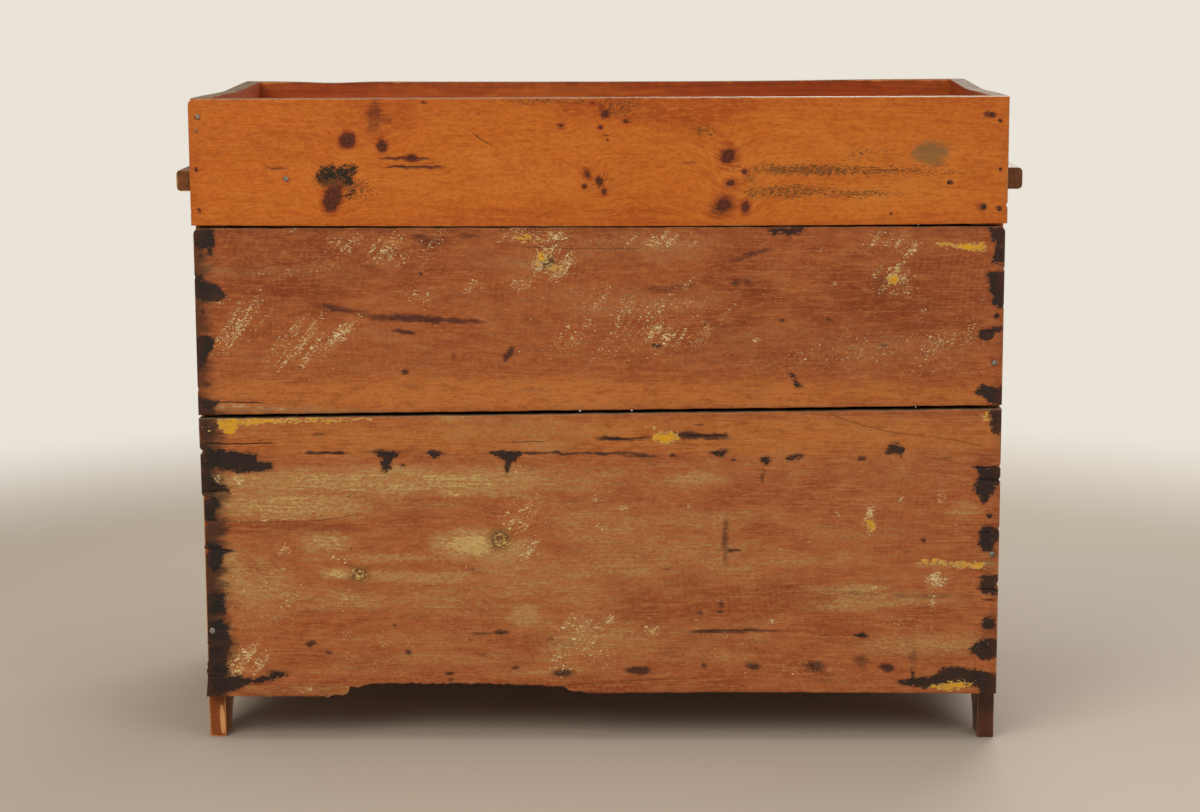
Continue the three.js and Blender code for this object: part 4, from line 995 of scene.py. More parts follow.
        [(-214, 389), (-222, 391), (-228, 386), (-224, 378), (-217, 381)],
        [(-250, 390), (-260, 392), (-270, 391), (-270, 388), (-258, 386), (-251, 387)],
        [(-381, 395), (-386, 407), (-396, 407), (-404, 399), (-400, 391), (-390, 395), (-383, 392)],
        [(-342, 148), (-352, 150), (-357, 148), (-352, 146), (-343, 146)],
    ],
    "cracks": [
        ([(533, 409), (477, 408), (429, 409)], 0.9, 0.9), ([(532, 344), (503, 343)], 1.2, 1),
        ([(533, 304), (504, 304)], 1, 0.9), ([(530, 268), (510, 265), (486, 261)], 1.1, 1),
        ([(-304, 447), (-342, 434), (-377, 425), (-411, 419), (-443, 416), (-480, 410), (-509, 404)],
         0.6, 0.4),
        ([(371, 396), (331, 394)], 1, 0.8), ([(125, 409), (68, 411)], 0.7, 0.6),
        ([(-121, 153), (-181, 154), (-242, 153)], 1, 0.6), ([(4, 412), (-45, 415), (-70, 416)], 1.4, 0.7),
        ([(-110, 418), (-168, 419)], 1.4, 0.7), ([(-490, 376), (-532, 375)], 1.2, 1),
        ([(-496, 359), (-532, 358)], 1.6, 1), ([(-506, 288), (-532, 287)], 1.2, 1),
        ([(-502, 211), (-534, 209)], 1.4, 1), ([(-510, 196), (-531, 195)], 1.2, 0.8),
        ([(509, 303), (453, 302), (393, 303), (356, 306), (335, 310), (319, 312)], 0.5, 0.5),
        ([(531, 184), (507, 186)], 1, 0.8), ([(533, 125), (517, 124)], 1.3, 0.9),
        ([(535, 90), (510, 90)], 1, 0.8), ([(54, 77), (-54, 85), (-134, 88)], 0.6, 0.35),
        ([(525, 108), (518, 107)], 1, 0.4),
    ],
}


# the aged boards, whose skin of fine faces carries the marks

spotKinds = ("smudges", "cream", "grey", "flecks", "yellow", "pits")
outlineKinds = ("tar", "ochre")
inset = 0.02  # mm that the skin stays inside the rim of the CAD board
flatWithin = 0.3  # mm that the corners of the outer face may differ in depth
shortest = 0.01  # mm that an edge of the rim has to run along an axis to cross it
farAway = 1e9
almostNone = 1e-9
noCrack = 20.0
rippleTable = {"columns": 61, "rows": 53, "shift": 500}
spotEnd = 1.5  # radii at which a spot has faded out
# how the edges of the marks waver: (mm, length of the waves in mm)
waver = {"x": ((2.2, 9), (1.0, 3.7)), "z": ((1.7, 8), (0.8, 3.3))}
# knots waver less, fade out at so many radii and bend the grain round themselves
knotShape = {"waver": 0.4, "end": 1.6, "bend": 1.5, "narrow": 0.14}
# in mm: how a crack narrows at its ends, and how far it is felt along and across itself
crackShape = {"waver": 0.3, "lead": 3, "taper": 12, "along": 2.5, "across": 8}


def ripple(xs, zs, cell, seed):
    # smooth noise from -1 to 1 over the board
    columns, rows, shift = rippleTable.values()
    table = np.random.default_rng(seed).uniform(-1, 1, (columns, rows))
    u, v = xs / cell + shift, zs / cell + shift
    column, row = np.floor(u).astype(int), np.floor(v).astype(int)
    fu, fv = u - column, v - row
    fu, fv = fu * fu * (3 - 2 * fu), fv * fv * (3 - 2 * fv)

    def between(level):
        here, beside = table[column % columns, level % rows], table[(column + 1) % columns, level % rows]
        return here * (1 - fu) + beside * fu

    return between(row) * (1 - fv) + between(row + 1) * fv


def spotReach(xs, zs, x, z, halfLong, halfHigh, tilt=0):
    turn = math.radians(tilt)
    across, up = xs - x, zs - z
    u = (across * math.cos(turn) + up * math.sin(turn)) / halfLong
    v = (up * math.cos(turn) - across * math.sin(turn)) / halfHigh
    return np.sqrt(u * u + v * v)


def spotField(xs, zs, spots, together=np.maximum):
    field = np.zeros_like(xs)
    for *spot, strength in spots:
        field = together(field, strength * np.clip(spotEnd - spotReach(xs, zs, *spot), 0, 1))
    return field


def insideOutline(xs, zs, outline, soft=4.0):
    # 1 well inside the outline, 0.5 on it, 0 well outside
    nearest = np.full_like(xs, farAway)
    inside = np.zeros(xs.shape, bool)
    for (ax, az), (bx, bz) in zip(outline, outline[1:] + outline[:1]):
        ex, ez = bx - ax, bz - az
        share = np.clip(((xs - ax) * ex + (zs - az) * ez) / (ex * ex + ez * ez + almostNone), 0, 1)
        nearest = np.minimum(nearest, np.hypot(xs - ax - share * ex, zs - az - share * ez))
        crosses = (az > zs) != (bz > zs)
        inside ^= crosses & (xs < ex * (zs - az) / (ez if ez else almostNone) + ax)
    return np.clip(0.5 + np.where(inside, nearest, -nearest) / (2 * soft), 0, 1)


def crackFields(xs, zs, cracks):
    # signed distance to the nearest crack, and how open it is there
    offset, strength = np.full_like(xs, noCrack), np.zeros_like(xs)
    closest = np.full_like(xs, farAway)
    lead = crackShape["lead"]
    for points, halfWidth, force in cracks:
        lengths = [math.dist(a, b) for a, b in zip(points, points[1:])]
        run = 0.0
        for (ax, az), (bx, bz), length in zip(points, points[1:], lengths):
            ex, ez = (bx - ax) / length, (bz - az) / length
            along = (xs - ax) * ex + (zs - az) * ez
            side = ((zs - az) * ex - (xs - ax) * ez) * (1 if ex > 0 else -1)
            beyond = np.maximum(np.maximum(-along, along - length), 0)
            away = np.hypot(side, beyond)
            toEnd = np.minimum(run + along + lead, sum(lengths) - run - along + lead)
            taper = np.clip(toEnd / crackShape["taper"], 0, 1)
            felt = (beyond < crackShape["along"]) * (away < crackShape["across"])
            closer = away < closest
            closest = np.where(closer, away, closest)
            offset = np.where(closer, side / halfWidth, offset)
            strength = np.where(closer, force * taper * felt, strength)
            run += length
    return np.clip(offset, -noCrack, noCrack), strength


def boardLayers(xs, zs, marks, seed):
    # every painted layer of a board at the given points, whose edges a ripple makes ragged
    px, pz = xs, zs
    for more, (size, cell) in enumerate(waver["x"]):
        px = px + size * ripple(xs, zs, cell, seed + more)
    for more, (size, cell) in enumerate(waver["z"]):
        pz = pz + size * ripple(xs, zs, cell, seed + len(waver["x"]) + more)

    def partWay(share):
        return xs + share * (px - xs), zs + share * (pz - zs)

    layers = {"shade": spotField(px, pz, marks["shade"], np.add)}
    layers.update({kind: spotField(px, pz, marks.get(kind, [])) for kind in spotKinds})
    layers["knots"], layers["bend"] = np.zeros_like(xs), np.zeros_like(xs)
    for *spot, strength in marks["knots"]:
        reach, end = spotReach(*partWay(knotShape["waver"]), *spot), knotShape["end"]
        layers["knots"] = np.maximum(layers["knots"], strength * np.clip(end - reach, 0, end) / end)
        layers["bend"] += knotShape["bend"] * min(spot[2:4]) * np.exp(-knotShape["narrow"] * reach ** 2)
    for kind in outlineKinds:
        outlines = [insideOutline(px, pz, outline) for outline in marks.get(kind, [])]
        layers[kind] = np.max([np.zeros_like(xs)] + outlines, axis=0)
    layers["cracks"], layers["crackDepth"] = crackFields(*partWay(crackShape["waver"]), marks["cracks"])
    return layers


def boardOutline(node):
    # the outer and the inner face of a CAD board, and the edges round its outer face, in millimetres
    mesh = frame["nodes"][node].data
    points = np.array([v.co for v in mesh.vertices]) * perMetre
    outer = points[:, 1].max()
    counts = {}
    for face in mesh.polygons:
        loop = [tuple(np.round(points[v], 2)) for v in face.vertices]
        if min(p[1] for p in loop) > outer - flatWithin:
            for pair in zip(loop, loop[1:] + loop[:1]):
                pair = tuple(sorted(pair))
                counts[pair] = counts.get(pair, 0) + 1
    return outer, points[:, 1].min(), [pair for pair, count in counts.items() if count == 1]


def reachAlong(rim, axis, values, sign):
    # the outermost crossing of the rim at each value, upward or to the left where the sign is 1
    other = 2 - axis
    best = np.full(len(values), -farAway)
    for a, b in rim:
        low, high = sorted((a, b), key=lambda p: p[axis])
        wide = high[axis] - low[axis]
        within = (values >= low[axis] - inset) & (values <= high[axis] + inset)
        if wide < shortest:
            crossing = np.full(len(values), sign * max(sign * a[other], sign * b[other]))
        else:
            crossing = low[other] + (values - low[axis]) / wide * (high[other] - low[other])
        best = np.where(within, np.maximum(best, sign * crossing), best)
    return sign * best


def stations(low, high, step, rounding):
    # places along a board, close together near its edges
    fine = np.array([0.0, 0.18, 0.5, 1.0]) * rounding
    count = int((high - low - 2 * rounding) / step)
    middle = np.linspace(low + rounding, high - rounding, count + 1)[1:-1]
    return np.concatenate([low + fine, middle, high - fine[::-1]])


def boardGrid(rim, setup):
    # rows and columns of points that fill the rim, with chipped ends and a broken lower edge
    corners = np.array([p for pair in rim for p in pair])
    lowX, lowZ = corners[:, [0, 2]].min(0) + inset
    highX, highZ = corners[:, [0, 2]].max(0) - inset
    alongX = stations(lowX, highX, setup["step"], setup["rounding"])
    upZ = stations(lowZ, highZ, setup["step"], setup["rounding"])

    def wobble(cell, more):
        return ripple(alongX, alongX * 0, cell, setup["seed"] + more)

    ends = {}
    for sign, far in ((1, highX), (-1, lowX)):
        # beside a slanting edge the ends keep the reach of the nearest full row
        end = reachAlong(rim, 2, upZ, sign)
        full = sign * end > sign * far - setup["fullWithin"]
        ends[sign] = np.interp(upZ, upZ[full], end[full])
    for sign, height, size, depth in setup["chips"]:
        bite = np.clip(1 - np.abs(upZ - height) / size, 0, 1) ** setup["chipCurve"]
        ends[sign] = ends[sign] - sign * depth * bite
    xShare, zShare = (alongX - lowX) / (highX - lowX), (upZ - lowZ) / (highZ - lowZ)
    xs = ends[-1][None, :] + xShare[:, None] * (ends[1] - ends[-1])[None, :]
    shake = setup["shake"] * (wobble(setup["shakeCell"], 0) - 1)
    topEdge = reachAlong(rim, 0, alongX, 1) + shake
    lowEdge = reachAlong(rim, 0, alongX, -1) - shake[::-1]
    # splinters and nicks where the lower edge has broken away
    for x, half, bite in setup["splinters"]:
        lowEdge = lowEdge + bite * np.clip(1 - np.abs(alongX - x) / half, 0, 1)
    low, high = setup["broken"]
    torn = setup["torn"] * wobble(setup["tornCell"], 7)
    lowEdge = lowEdge + torn * ((alongX > low) & (alongX < high))
    zs = lowEdge[:, None] + zShare[None, :] * (topEdge - lowEdge)[:, None]
    inX = np.minimum(alongX - lowX, highX - alongX)[:, None] + 0 * xs
    inZ = np.minimum(upZ - lowZ, highZ - upZ)[None, :] + 0 * xs
    return xs, zs, inX, inZ, np.array([(lowX + highX) / 2, 0, (lowZ + highZ) / 2])


def skinDrop(xs, zs, inX, inZ, layers, setup):
    # how deep the skin lies: arrises are rounded, and more so where they are worn
    seed, rounding = setup["seed"], setup["rounding"]
    wornMore = rounding * (1 + setup["uneven"] * ripple(xs, zs, setup["unevenCell"], seed + 9))
    drops = [1 - np.sqrt(1 - np.clip(1 - within / wornMore, 0, 1) ** 2) for within in (inX, inZ)]
    drop = rounding * np.clip(drops[0] + drops[1], 0, 1)
    drop += setup["wave"] * (0.5 + 0.5 * ripple(xs, zs, setup["waveCell"], seed + 4))
    # low ridges along the grain, knots that stand proud and splits that gape
    ridges = ripple(xs, zs * setup["ridgeStretch"], setup["ridgeCell"], seed + 5)
    drop += setup["ridges"] * (0.5 + 0.5 * ridges) - setup["knotsProud"] * layers["knots"]
    drop += setup["splits"] * layers["crackDepth"] * np.exp(-layers["cracks"] ** 2 / setup["splitSpread"])
    return np.clip(drop, 0, None)


def agedBoard(name, node, marks, own):
    # a board of the CAD outline with worn arrises, splits and a skin of fine faces that carries its marks
    setup = dict(agedSetup, **own)
    outer, inner, rim = boardOutline(node)
    xs, zs, inX, inZ, middle = boardGrid(rim, setup)
    layers = boardLayers(xs, zs, marks, setup["seed"])
    ys = outer - skinDrop(xs, zs, inX, inZ, layers, setup)
    columns, rows = xs.shape
    front = np.stack([xs, ys, zs], axis=2).reshape(-1, 3)
    grid = np.arange(columns * rows).reshape(columns, rows)
    cells = np.stack([grid[:-1, :-1], grid[:-1, 1:], grid[1:, 1:], grid[1:, :-1]], axis=2)
    faces = cells.reshape(-1, 4).tolist()
    # the ring of points round the board, then the same ring further in, step by step
    ring = np.concatenate([grid[:, 0], grid[-1, 1:], grid[-2::-1, -1], grid[0, -2:0:-1]])
    size, before, points = len(ring), ring.tolist(), [front]
    middleDepth, (deep, wide) = (outer + inner) / 2, setup["hiddenArris"]
    depths = [outer - setup["rounding"] - 2, middleDepth + 2, middleDepth - 3, inner + deep, inner]
    for step, depth in enumerate(depths):
        level = front[ring].copy()
        level[:, 1] = depth
        if depth == inner:
            level[:, (0, 2)] -= wide * np.sign(level - middle)[:, (0, 2)]
        points.append(level)
        now = [columns * rows + step * size + k for k in range(size)]
        faces += [(before[k - 1], before[k], now[k], now[k - 1]) for k in range(size)]
        before = now
    # the hidden face is closed by strips from its lower to its upper edge
    pad, corner = setup["pad"], columns + rows - 2
    lowRow, top = before[:columns], before[corner:corner + columns][::-1]
    faces += [(lowRow[k], lowRow[k + 1], top[k + 1], top[k]) for k in range(pad, columns - 1 - pad)]
    faces.append(before[columns - 1 - pad:corner + pad + 1])
    faces.append(before[size - rows + 1 - pad:] + before[:pad + 1])
    board = newMesh(name, (np.concatenate(points) * mm).tolist(), faces)
    for layer, values in layers.items():
        flat = values.reshape(-1)
        hidden = np.full(size, noCrack if layer == "cracks" else 0.0)
        whole = np.concatenate([flat] + [flat[ring]] * (len(depths) - 1) + [hidden])
        made = board.data.attributes.new(layer, "FLOAT", "POINT")
        made.data.foreach_set("value", whole.astype(np.float32))
    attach(board, setup["body"])
    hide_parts(node)
    return board


# noises of the weathered boards: sizes of the lumps, detail, roughness
agedNoise = {
    "fray": ((5.0, 2.4, 2.4), 4.0, 0.62),
    "coarse": ((26.0, 9.0, 9.0), 3.0, 0.6),
    "patches": ((90.0, 34.0, 34.0), 3.0, 0.6),
    "brushed": ((60.0, 2.2, 2.2), 5.0, 0.68),
    "grit": ((7.0, 3.0, 3.0), 4.0, 0.75),
}
# flecks in three sizes: length, height, how crowded, how opaque
fleckKinds = ((5.0, 2.8, 0.85, 0.9), (2.4, 1.5, 0.9, 0.75), (14.0, 1.1, 0.45, 0.55))
# pits and flecks of paint: length, height, step of the seed
pitKind = (5.0, 1.7, 8.9)
paintKind = (6.5, 3.2, 5.3)


def weatheredMaterial(name, look, box):
    material, shader = newMaterial(name)
    wood, place, seed = grainVector("xzy", box), placeInMm(), look["seed"]
    layer = {
        kind: addNode("Attribute", gives="Fac", attribute_name=kind)
        for kind in spotKinds + outlineKinds + ("shade", "knots", "bend", "cracks", "crackDepth")
    }

    def flecks(density, length, tall, more):
        made = useGroup(fleckSpots, {
            "Vector": flow, "Density": density, "Long": length, "High": tall, "Seed": seed + more,
        })
        return made["Mask"]

    # the grain flows round the knots and wanders slowly
    drift = (cloud(wood, (330.0, 90.0, 90.0)) - 0.5) * look["drift"] + layer["bend"]
    flow = vectors("ADD", wood, vectorOf(0.0, drift, 0.0))
    fray, coarse, patches, brushed, grit = evenClouds(flow, agedNoise)
    figure = useGroup(pineFigure, {
        "Vector": flow, "Seed": seed, "Ring Width": look["ringWidth"], "Wander": look["wander"],
        "Pith Across": look["pithAcross"], "Pith Depth": look["pithDepth"], "Knot Share": 0.0,
    })
    dirt = useGroup(grimeClouds, {"Vector": flow, "Amount": look["grimeAmount"], "Seed": seed})
    saw = useGroup(sawMarks, {"Vector": wood, "Pitch": look["sawPitch"], "Seed": seed})
    edge = arrisWear(box, look, seed)
    clean = patches * 0.9 + layer["shade"]
    # a thin veil of worn pale paint, thicker in places
    veil = patches * 0.9 + brushed * 1.5 + (fray + grit) * 0.8 + layer["cream"] + look["looseCream"]
    scrubbed = span(brushed + grit + fray, -0.16, 0.14, 0.3, 1.0)
    cream = span(veil, 0.1, 0.75) * scrubbed * look["creamShare"]
    thick = (brushed + grit + fray) * 1.3 + coarse * 0.6 + layer["cream"]
    thick = span(thick, 0.75, 1.2) * span(layer["cream"], 0.15, 0.6)
    grey = (fray + coarse) * 1.1 + layer["grey"]
    # smudges, and the dark of old dirt at one end
    smudge = (fray + coarse + brushed) * 0.42 + layer["smudges"]
    smudge = span(smudge, 0.1, 0.8) * span(layer["smudges"], 0.0, 0.14)
    ends = (coarse + patches) * 46.0 + axesOf(place)[0]
    ends = span(ends, look["endStart"], look["endStart"] + 30.0)
    # knots with a reddish halo, a dark rim and rings
    torn = fray * 0.34 + coarse * 0.3
    inKnot = span(layer["knots"], 0.0, 0.1)
    halo = span(layer["knots"] + (torn + brushed) * 0.8, 0.02, 0.4) * inKnot
    knotRings = span(maths("SINE", layer["knots"] * 24.0 + coarse * 14.0 + fray * 5.0), -1.0, 1.0)
    knotMask = span(layer["knots"] + torn, 0.3, 0.5) * inKnot
    # pale flecks crowd along the slanting tracks of the saw
    track = addNode("VectorRotate", {"Vector": wood, "Angle": look["trackTurn"]}, rotation_type="Z_AXIS")
    tracks = span(cloud(track, (9.0, 150.0, 40.0)), 0.38, 0.64, 0.45, 1.5)
    crowd = layer["flecks"] * tracks * look["fleckCrowd"] + look["looseFlecks"]
    fleckTone = tint(span(coarse + fray, -0.12, 0.12), look["fleck"], look["fleckLight"])
    pale = [(flecks(crowd * amount, length, tall, length), cover)
            for length, tall, amount, cover in fleckKinds]
    pits = flecks(layer["pits"] * look["pitCrowd"] + look["loosePits"], *pitKind)
    # black stains at the nailed ends
    stain = layer["tar"] + fray * look["tarFray"] + coarse * 1.1
    tar = span(stain, 0.44, 0.56) * span(layer["tar"], 0.01, 0.08)
    tarTone = tint(span(coarse + patches + grit, -0.05, 0.3), look["tar"], look["tarBrown"])
    # ochre paint in patches and flecks
    coverage = layer["ochre"] + fray * 2.8 + coarse + brushed
    ochre = span(coverage, 0.46, 0.56) * span(layer["ochre"], 0.02, 0.12)
    ochreTone = tint(span(coarse + grit, -0.16, 0.16), look["ochreDull"], look["ochre"])
    ochreTone = tint(span(coverage + grit, 0.78, 0.52) * 0.7, ochreTone, look["creamLight"])
    yellow = flecks(layer["yellow"] * 0.8, *paintKind)
    crack = span(maths("ABSOLUTE", fray * 1.2 + layer["cracks"]), 1.25, 0.55) * layer["crackDepth"]
    # the hidden face never had the finish of the outer one; on the tray's board it takes the tray inside
    # tone, darker partly as painted shade
    bare, low = finishes[look["hidden"]], box[0][1]
    hidden = span(axesOf(place)[1], low + 2.4, low + 1.0)
    plain = tint(figure["Rings"] * 0.6, bare["early"], bare["late"])
    plain = tint(span(brushed + coarse, 0.0, 0.3) * 0.5, plain, bare["deep"])
    variation = ((coarse, 0.22, "mottleShare"), (brushed, 0.15, "lineShare"), (grit, 0.13, "gritShare"))
    # from the wood up: light and dark stretches, lumps, long lines and grit, and then what lies on them
    base = layered(look, tint(figure["Rings"] * look["ringShare"], look["early"], look["late"]), [
        (span(clean, 0.0, 0.75) * 0.9, "clean"),
        (span(clean, -0.02, -0.45) * 0.8, "deep"),
        (span(figure["Broad"], 0.5, 0.72) * look["broadShare"], "broad"),
        *[(span(field, 0.0, reach) * look[share], tone) for field, width, share in variation
          for reach, tone in ((width, "deep"), (-width, "pale"))],
        (dirt["Mask"] * look["grimeShare"], "grime"),
        (figure["Pores"] * 0.45, "grime"),
        (saw["Marks"] * look["sawShare"], "pale"),
        (cream, "cream"),
        (thick * 0.5, "creamLight"),
        (span(grey, 0.22, 0.75) * 0.8, "grey"),
        (smudge * 0.88, "smudge"),
        (ends * look["endShare"], "tarBrown"),
        (halo * 0.7, "halo"),
        (knotMask * 0.88, tint(knotRings * 0.7, look["knot"], look["knotHeart"])),
        *[(mask * cover, fleckTone) for mask, cover in pale],
        (pits * 0.8, "pit"),
        (span(layer["tar"], 0.02, 0.55) * 0.4, "tarBrown"),
        (tar * 0.94, tarTone),
        (ochre * 0.94, ochreTone),
        (yellow * 0.92, ochreTone),
        (crack, "crack"),
        (edge["Near"] * look["nearShare"], "grime"),
        (edge["Wear"] * (1.0 - tar * 0.8) * look["wearShare"], "worn"),
        (hidden, plain),
        # tops of the boards: grey weathering together with a painted sheen of reflected light
        (upFacingGreyAndSheen(coarse), "rim"),
    ])
    fitShader(shader, {
        "Base Color": base,
        "Roughness": clamped(
            figure["Broad"] * 0.2 + look["rough"] - 0.1 + cream * 0.15 + tar * look["tarGloss"]),
        "Coat Weight": look["coat"], "Coat Roughness": 0.25, "Specular IOR Level": look["gloss"],
    }, heaped([
        (figure["Streaks"], look["grainDepth"]), (figure["Rings"], 0.06), (figure["Pores"], -0.15),
        (saw["Marks"], look["sawDepth"]), (grit, look["gritDepth"]), (knotRings * knotMask, 0.08),
        (pale[0][0], 0.16), (pale[1][0], 0.1), (yellow, 0.2), (ochre, 0.22), (cream, 0.05), (thick, 0.12),
        (pits, -0.3), (crack, -0.9),
    ]))
    return material


# what all three boards share, and then what is each one's own
agedSetup = {
    "splinters": [], "broken": (0, 0), "torn": 1.1, "tornCell": 4.5, "shakeCell": 14, "fullWithin": 12,
    "chipCurve": 0.7, "uneven": 0.45, "unevenCell": 34, "waveCell": 130, "ridges": 0.18, "ridgeCell": 40,
    "ridgeStretch": 4, "knotsProud": 0.25, "splits": 0.5, "splitSpread": 3, "hiddenArris": (1.2, 0.9),
    "pad": 9,
}
agedWood = {
    "wander": 26.0, "ringWidth": 6.0, "pithDepth": -85.0, "drift": 16.0, "ringShare": 0.4,
    "broadShare": 0.45, "lineShare": 0.58, "mottleShare": 0.42, "gritShare": 0.38, "gritDepth": 0.12,
    "grimeShare": 0.4, "grimeAmount": 0.42, "trackTurn": -0.63, "sawPitch": 8.0, "sawShare": 0.1,
    "sawDepth": 0.08, "looseFlecks": 0.04, "fleckCrowd": 0.8, "loosePits": 0.004, "pitCrowd": 0.45,
    "endStart": 499.0, "endShare": 0.75, "hidden": "bare", "rim": "#7C684E", "grey": "#6F5C36",
    "ochre": "#E2A51E", "ochreDull": "#C8902E", "gloss": 0.22, "coat": 0.03, "tar": "#1F1B18",
    "tarBrown": "#3D271B", "tarFray": 2.2, "wearWidth": 1.6, "wearReach": 16.0, "nearShare": 0.4,
    "wearShare": 0.5,
}
weatheredLooks = {
    "tray": {
        "seed": 4.0, "pithAcross": -20.0, "ringWidth": 7.5, "drift": 24.0, "ringShare": 0.45,
        "early": "#C86A20", "late": "#B05416", "clean": "#DA8A36", "deep": "#A6460F", "pale": "#D47C2C",
        "broad": "#B85A1A", "grime": "#8A3C14", "cream": "#C9A06A", "creamLight": "#DCC08E",
        "rim": "#7C5836", "smudge": "#5A2414", "halo": "#8A3410", "knot": "#35170F", "knotHeart": "#5E2D1D",
        "grey": "#7E6238", "fleck": "#D9A066", "fleckLight": "#E6BE85", "pit": "#5A3E1A", "tar": "#1E1C12",
        "tarBrown": "#4A3418", "tarFray": 4.2, "crack": "#3A1D12", "worn": "#B87C46", "looseCream": -3.0,
        "creamShare": 0.0, "looseFlecks": 0.0, "lineShare": 0.3, "mottleShare": 0.3, "gritShare": 0.45,
        "gritDepth": 0.05, "grimeShare": 0.3, "pitCrowd": 1.5, "loosePits": 0.025, "sawShare": 0.0,
        "sawDepth": 0.02, "endShare": 0.0, "hidden": "tray inside", "wearWidth": 1.5, "nearShare": 0.25,
        "wearShare": 0.75, "rough": 0.44, "coat": 0.08, "tarGloss": 0.0, "grainDepth": 0.14,
    },
    "upper": {
        "seed": 9.0, "pithAcross": 30.0, "pithDepth": -90.0, "early": "#A85828", "late": "#94461C",
        "clean": "#C87632", "deep": "#7E3413", "pale": "#BE7842", "broad": "#9A4A22", "grime": "#64301A",
        "cream": "#B28A58", "creamLight": "#D8BC82", "smudge": "#40201A", "halo": "#8A5A2C",
        "knot": "#45281A", "knotHeart": "#7E5630", "fleck": "#D0AA68", "fleckLight": "#EEDCA4",
        "pit": "#341C12", "crack": "#22120C", "worn": "#B98050", "looseCream": 0.02, "creamShare": 0.6,
        "lineShare": 0.42, "rough": 0.56, "tarGloss": 0.06, "grainDepth": 0.24,
    },
    "lower": {
        "seed": 15.0, "pithAcross": -40.0, "pithDepth": -80.0, "wander": 30.0, "early": "#AE5E2E",
        "late": "#9A4C20", "clean": "#C4722C", "deep": "#843A16", "pale": "#BE7E4A", "broad": "#A4562A",
        "grime": "#64341C", "cream": "#BC955A", "creamLight": "#DCC27C", "smudge": "#382018",
        "halo": "#8E5C2C", "knot": "#6A4224", "knotHeart": "#B48C50", "fleck": "#D6B26C",
        "fleckLight": "#EEDCA2", "pit": "#2A1A12", "crack": "#1E110C", "worn": "#B98A5C",
        "looseCream": 0.05, "creamShare": 0.85, "rough": 0.6, "coat": 0.02, "tarGloss": 0.04,
        "grainDepth": 0.28, "sawDepth": 0.06, "wearWidth": 1.8, "endShare": 0.88, "endStart": 486.0,
    },
}
# chips are (side, height, half size, depth), splinters are (place, half width, bite), all in mm
agedBoards = {
    "tray": ("tray_back_board", trayMarks, {
        "body": "tray", "slot": "pine_tray", "step": 2.1, "rounding": 1.3, "wave": 0.35, "shake": 0.12,
        "seed": 21, "chips": [(-1, 721, 3, 2.0), (1, 716, 2.5, 0.8)],
    }),
    "upper": ("back_board_upper", upperMarks, {
        "body": "case", "slot": "pine_back", "step": 2.2, "rounding": 1.6, "wave": 0.5, "shake": 0.35,
        "seed": 33,
        "chips": [(1, 634, 2.5, 1.2), (-1, 640, 2.5, 1.4), (1, 482, 4, 1.0), (-1, 587, 3, 0.8)],
    }),
    "lower": ("back_board_lower", lowerMarks, {
        "body": "case", "slot": "pine_back", "step": 2.4, "rounding": 1.8, "wave": 0.6, "shake": 0.35,
        "seed": 47, "broken": (14, 366),
        "splinters": [
            (367, 5, -1.8), (356, 6, 0.5), (347, 4, -0.8), (337, 5, 1.8), (324, 6, -1.2), (310, 5, 1.2),
            (60, 6, -1.2), (50, 5, 1.6), (40, 5, -1.2), (24, 8, 0.9),
        ],
        "chips": [
            (1, 408, 2.5, 2.6), (1, 344, 3, 3.2), (1, 307, 2.4, 2.4), (1, 268, 2.6, 2.8), (1, 104, 5, 3.0),
            (1, 135, 3, 1.5), (-1, 376, 2.5, 2.0), (-1, 358, 3, 2.6), (-1, 290, 2.4, 1.6), (-1, 214, 3, 2.2),
        ],
    }),
}
# nail heads seen in the photograph: (x, z, radius); the dark ones have rusted
backNails = {
    "tray": {
        "bright": [(521.0, 841.4, 3.9), (407.4, 760.0, 3.5), (523.8, 823.2, 2.2)],
        "dark": [(524.0, 772.7, 2.4), (523.1, 720.0, 2.4), (-511.4, 840.5, 3.4), (-521.5, 833.1, 2.4),
                 (-523.0, 770.1, 2.0), (-456.7, 752.8, 3.2), (-502.7, 720.8, 3.6), (-522.8, 718.3, 3.2)],
    },
    "upper": {
        "bright": [(-521, 515, 3.6)],
        "dark": [(523, 660, 2.4), (521, 626, 2.6), (521, 586, 2.2), (520, 489, 2.4), (519, 465, 2.6),
                 (-523, 578, 3.0), (-526, 668, 2.6), (-525, 558, 2.4), (-524, 477, 2.6)],
    },
    "lower": {
        "bright": [(521, 153, 3.8), (-522, 258, 3.4)],
        "dark": [(523, 327, 2.4), (525, 409, 2.4), (524, 385, 2.6), (526, 268, 2.6), (523, 234, 2.4),
                 (523, 186, 2.6), (526, 136, 2.2), (525, 125, 2.6), (524, 74, 2.4), (-520, 426, 2.6),
                 (-520, 375, 2.4), (-518, 310, 2.6), (-522, 287, 2.4), (-524, 226, 2.4), (-518, 168, 2.6),
                 (-518, 134, 2.4)],
    },
}
for label, (node, marks, setup) in agedBoards.items():
    # each nail has stained the wood round its head
    for heads in backNails[label].values():
        marks["smudges"] += [(x, z, radius * 1.15, radius * 1.15, 0.9) for x, z, radius in heads]
    board = agedBoard("aged_" + node, node, marks, setup)
    look = {**agedWood, **weatheredLooks[label]}
    board.data.materials.append(weatheredMaterial("weathered " + label, look, boxInMm(node)))
print("the boards that face the photograph are aged")


# nails, screws, pegs and turned knobs

def joined(name, parts, material, body):
    # many small bodies in one piece
    points, faces = [], []
    for partPoints, partFaces in parts:
        first = len(points)
        points += partPoints
        faces += [[first + v for v in face] for face in partFaces]
    piece = newMesh(name, points, faces)
    piece.data.materials.append(material)
    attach(piece, body)
    return piece


def facing(place, outward, turn=0.0):
    # a frame at a place in mm whose third axis points outward
    turned = Vector(outward).to_track_quat("Z", "Y").to_matrix().to_4x4() @ Matrix.Rotation(turn, 4, "Z")
    return Matrix.Translation(Vector(place) * mm) @ turned


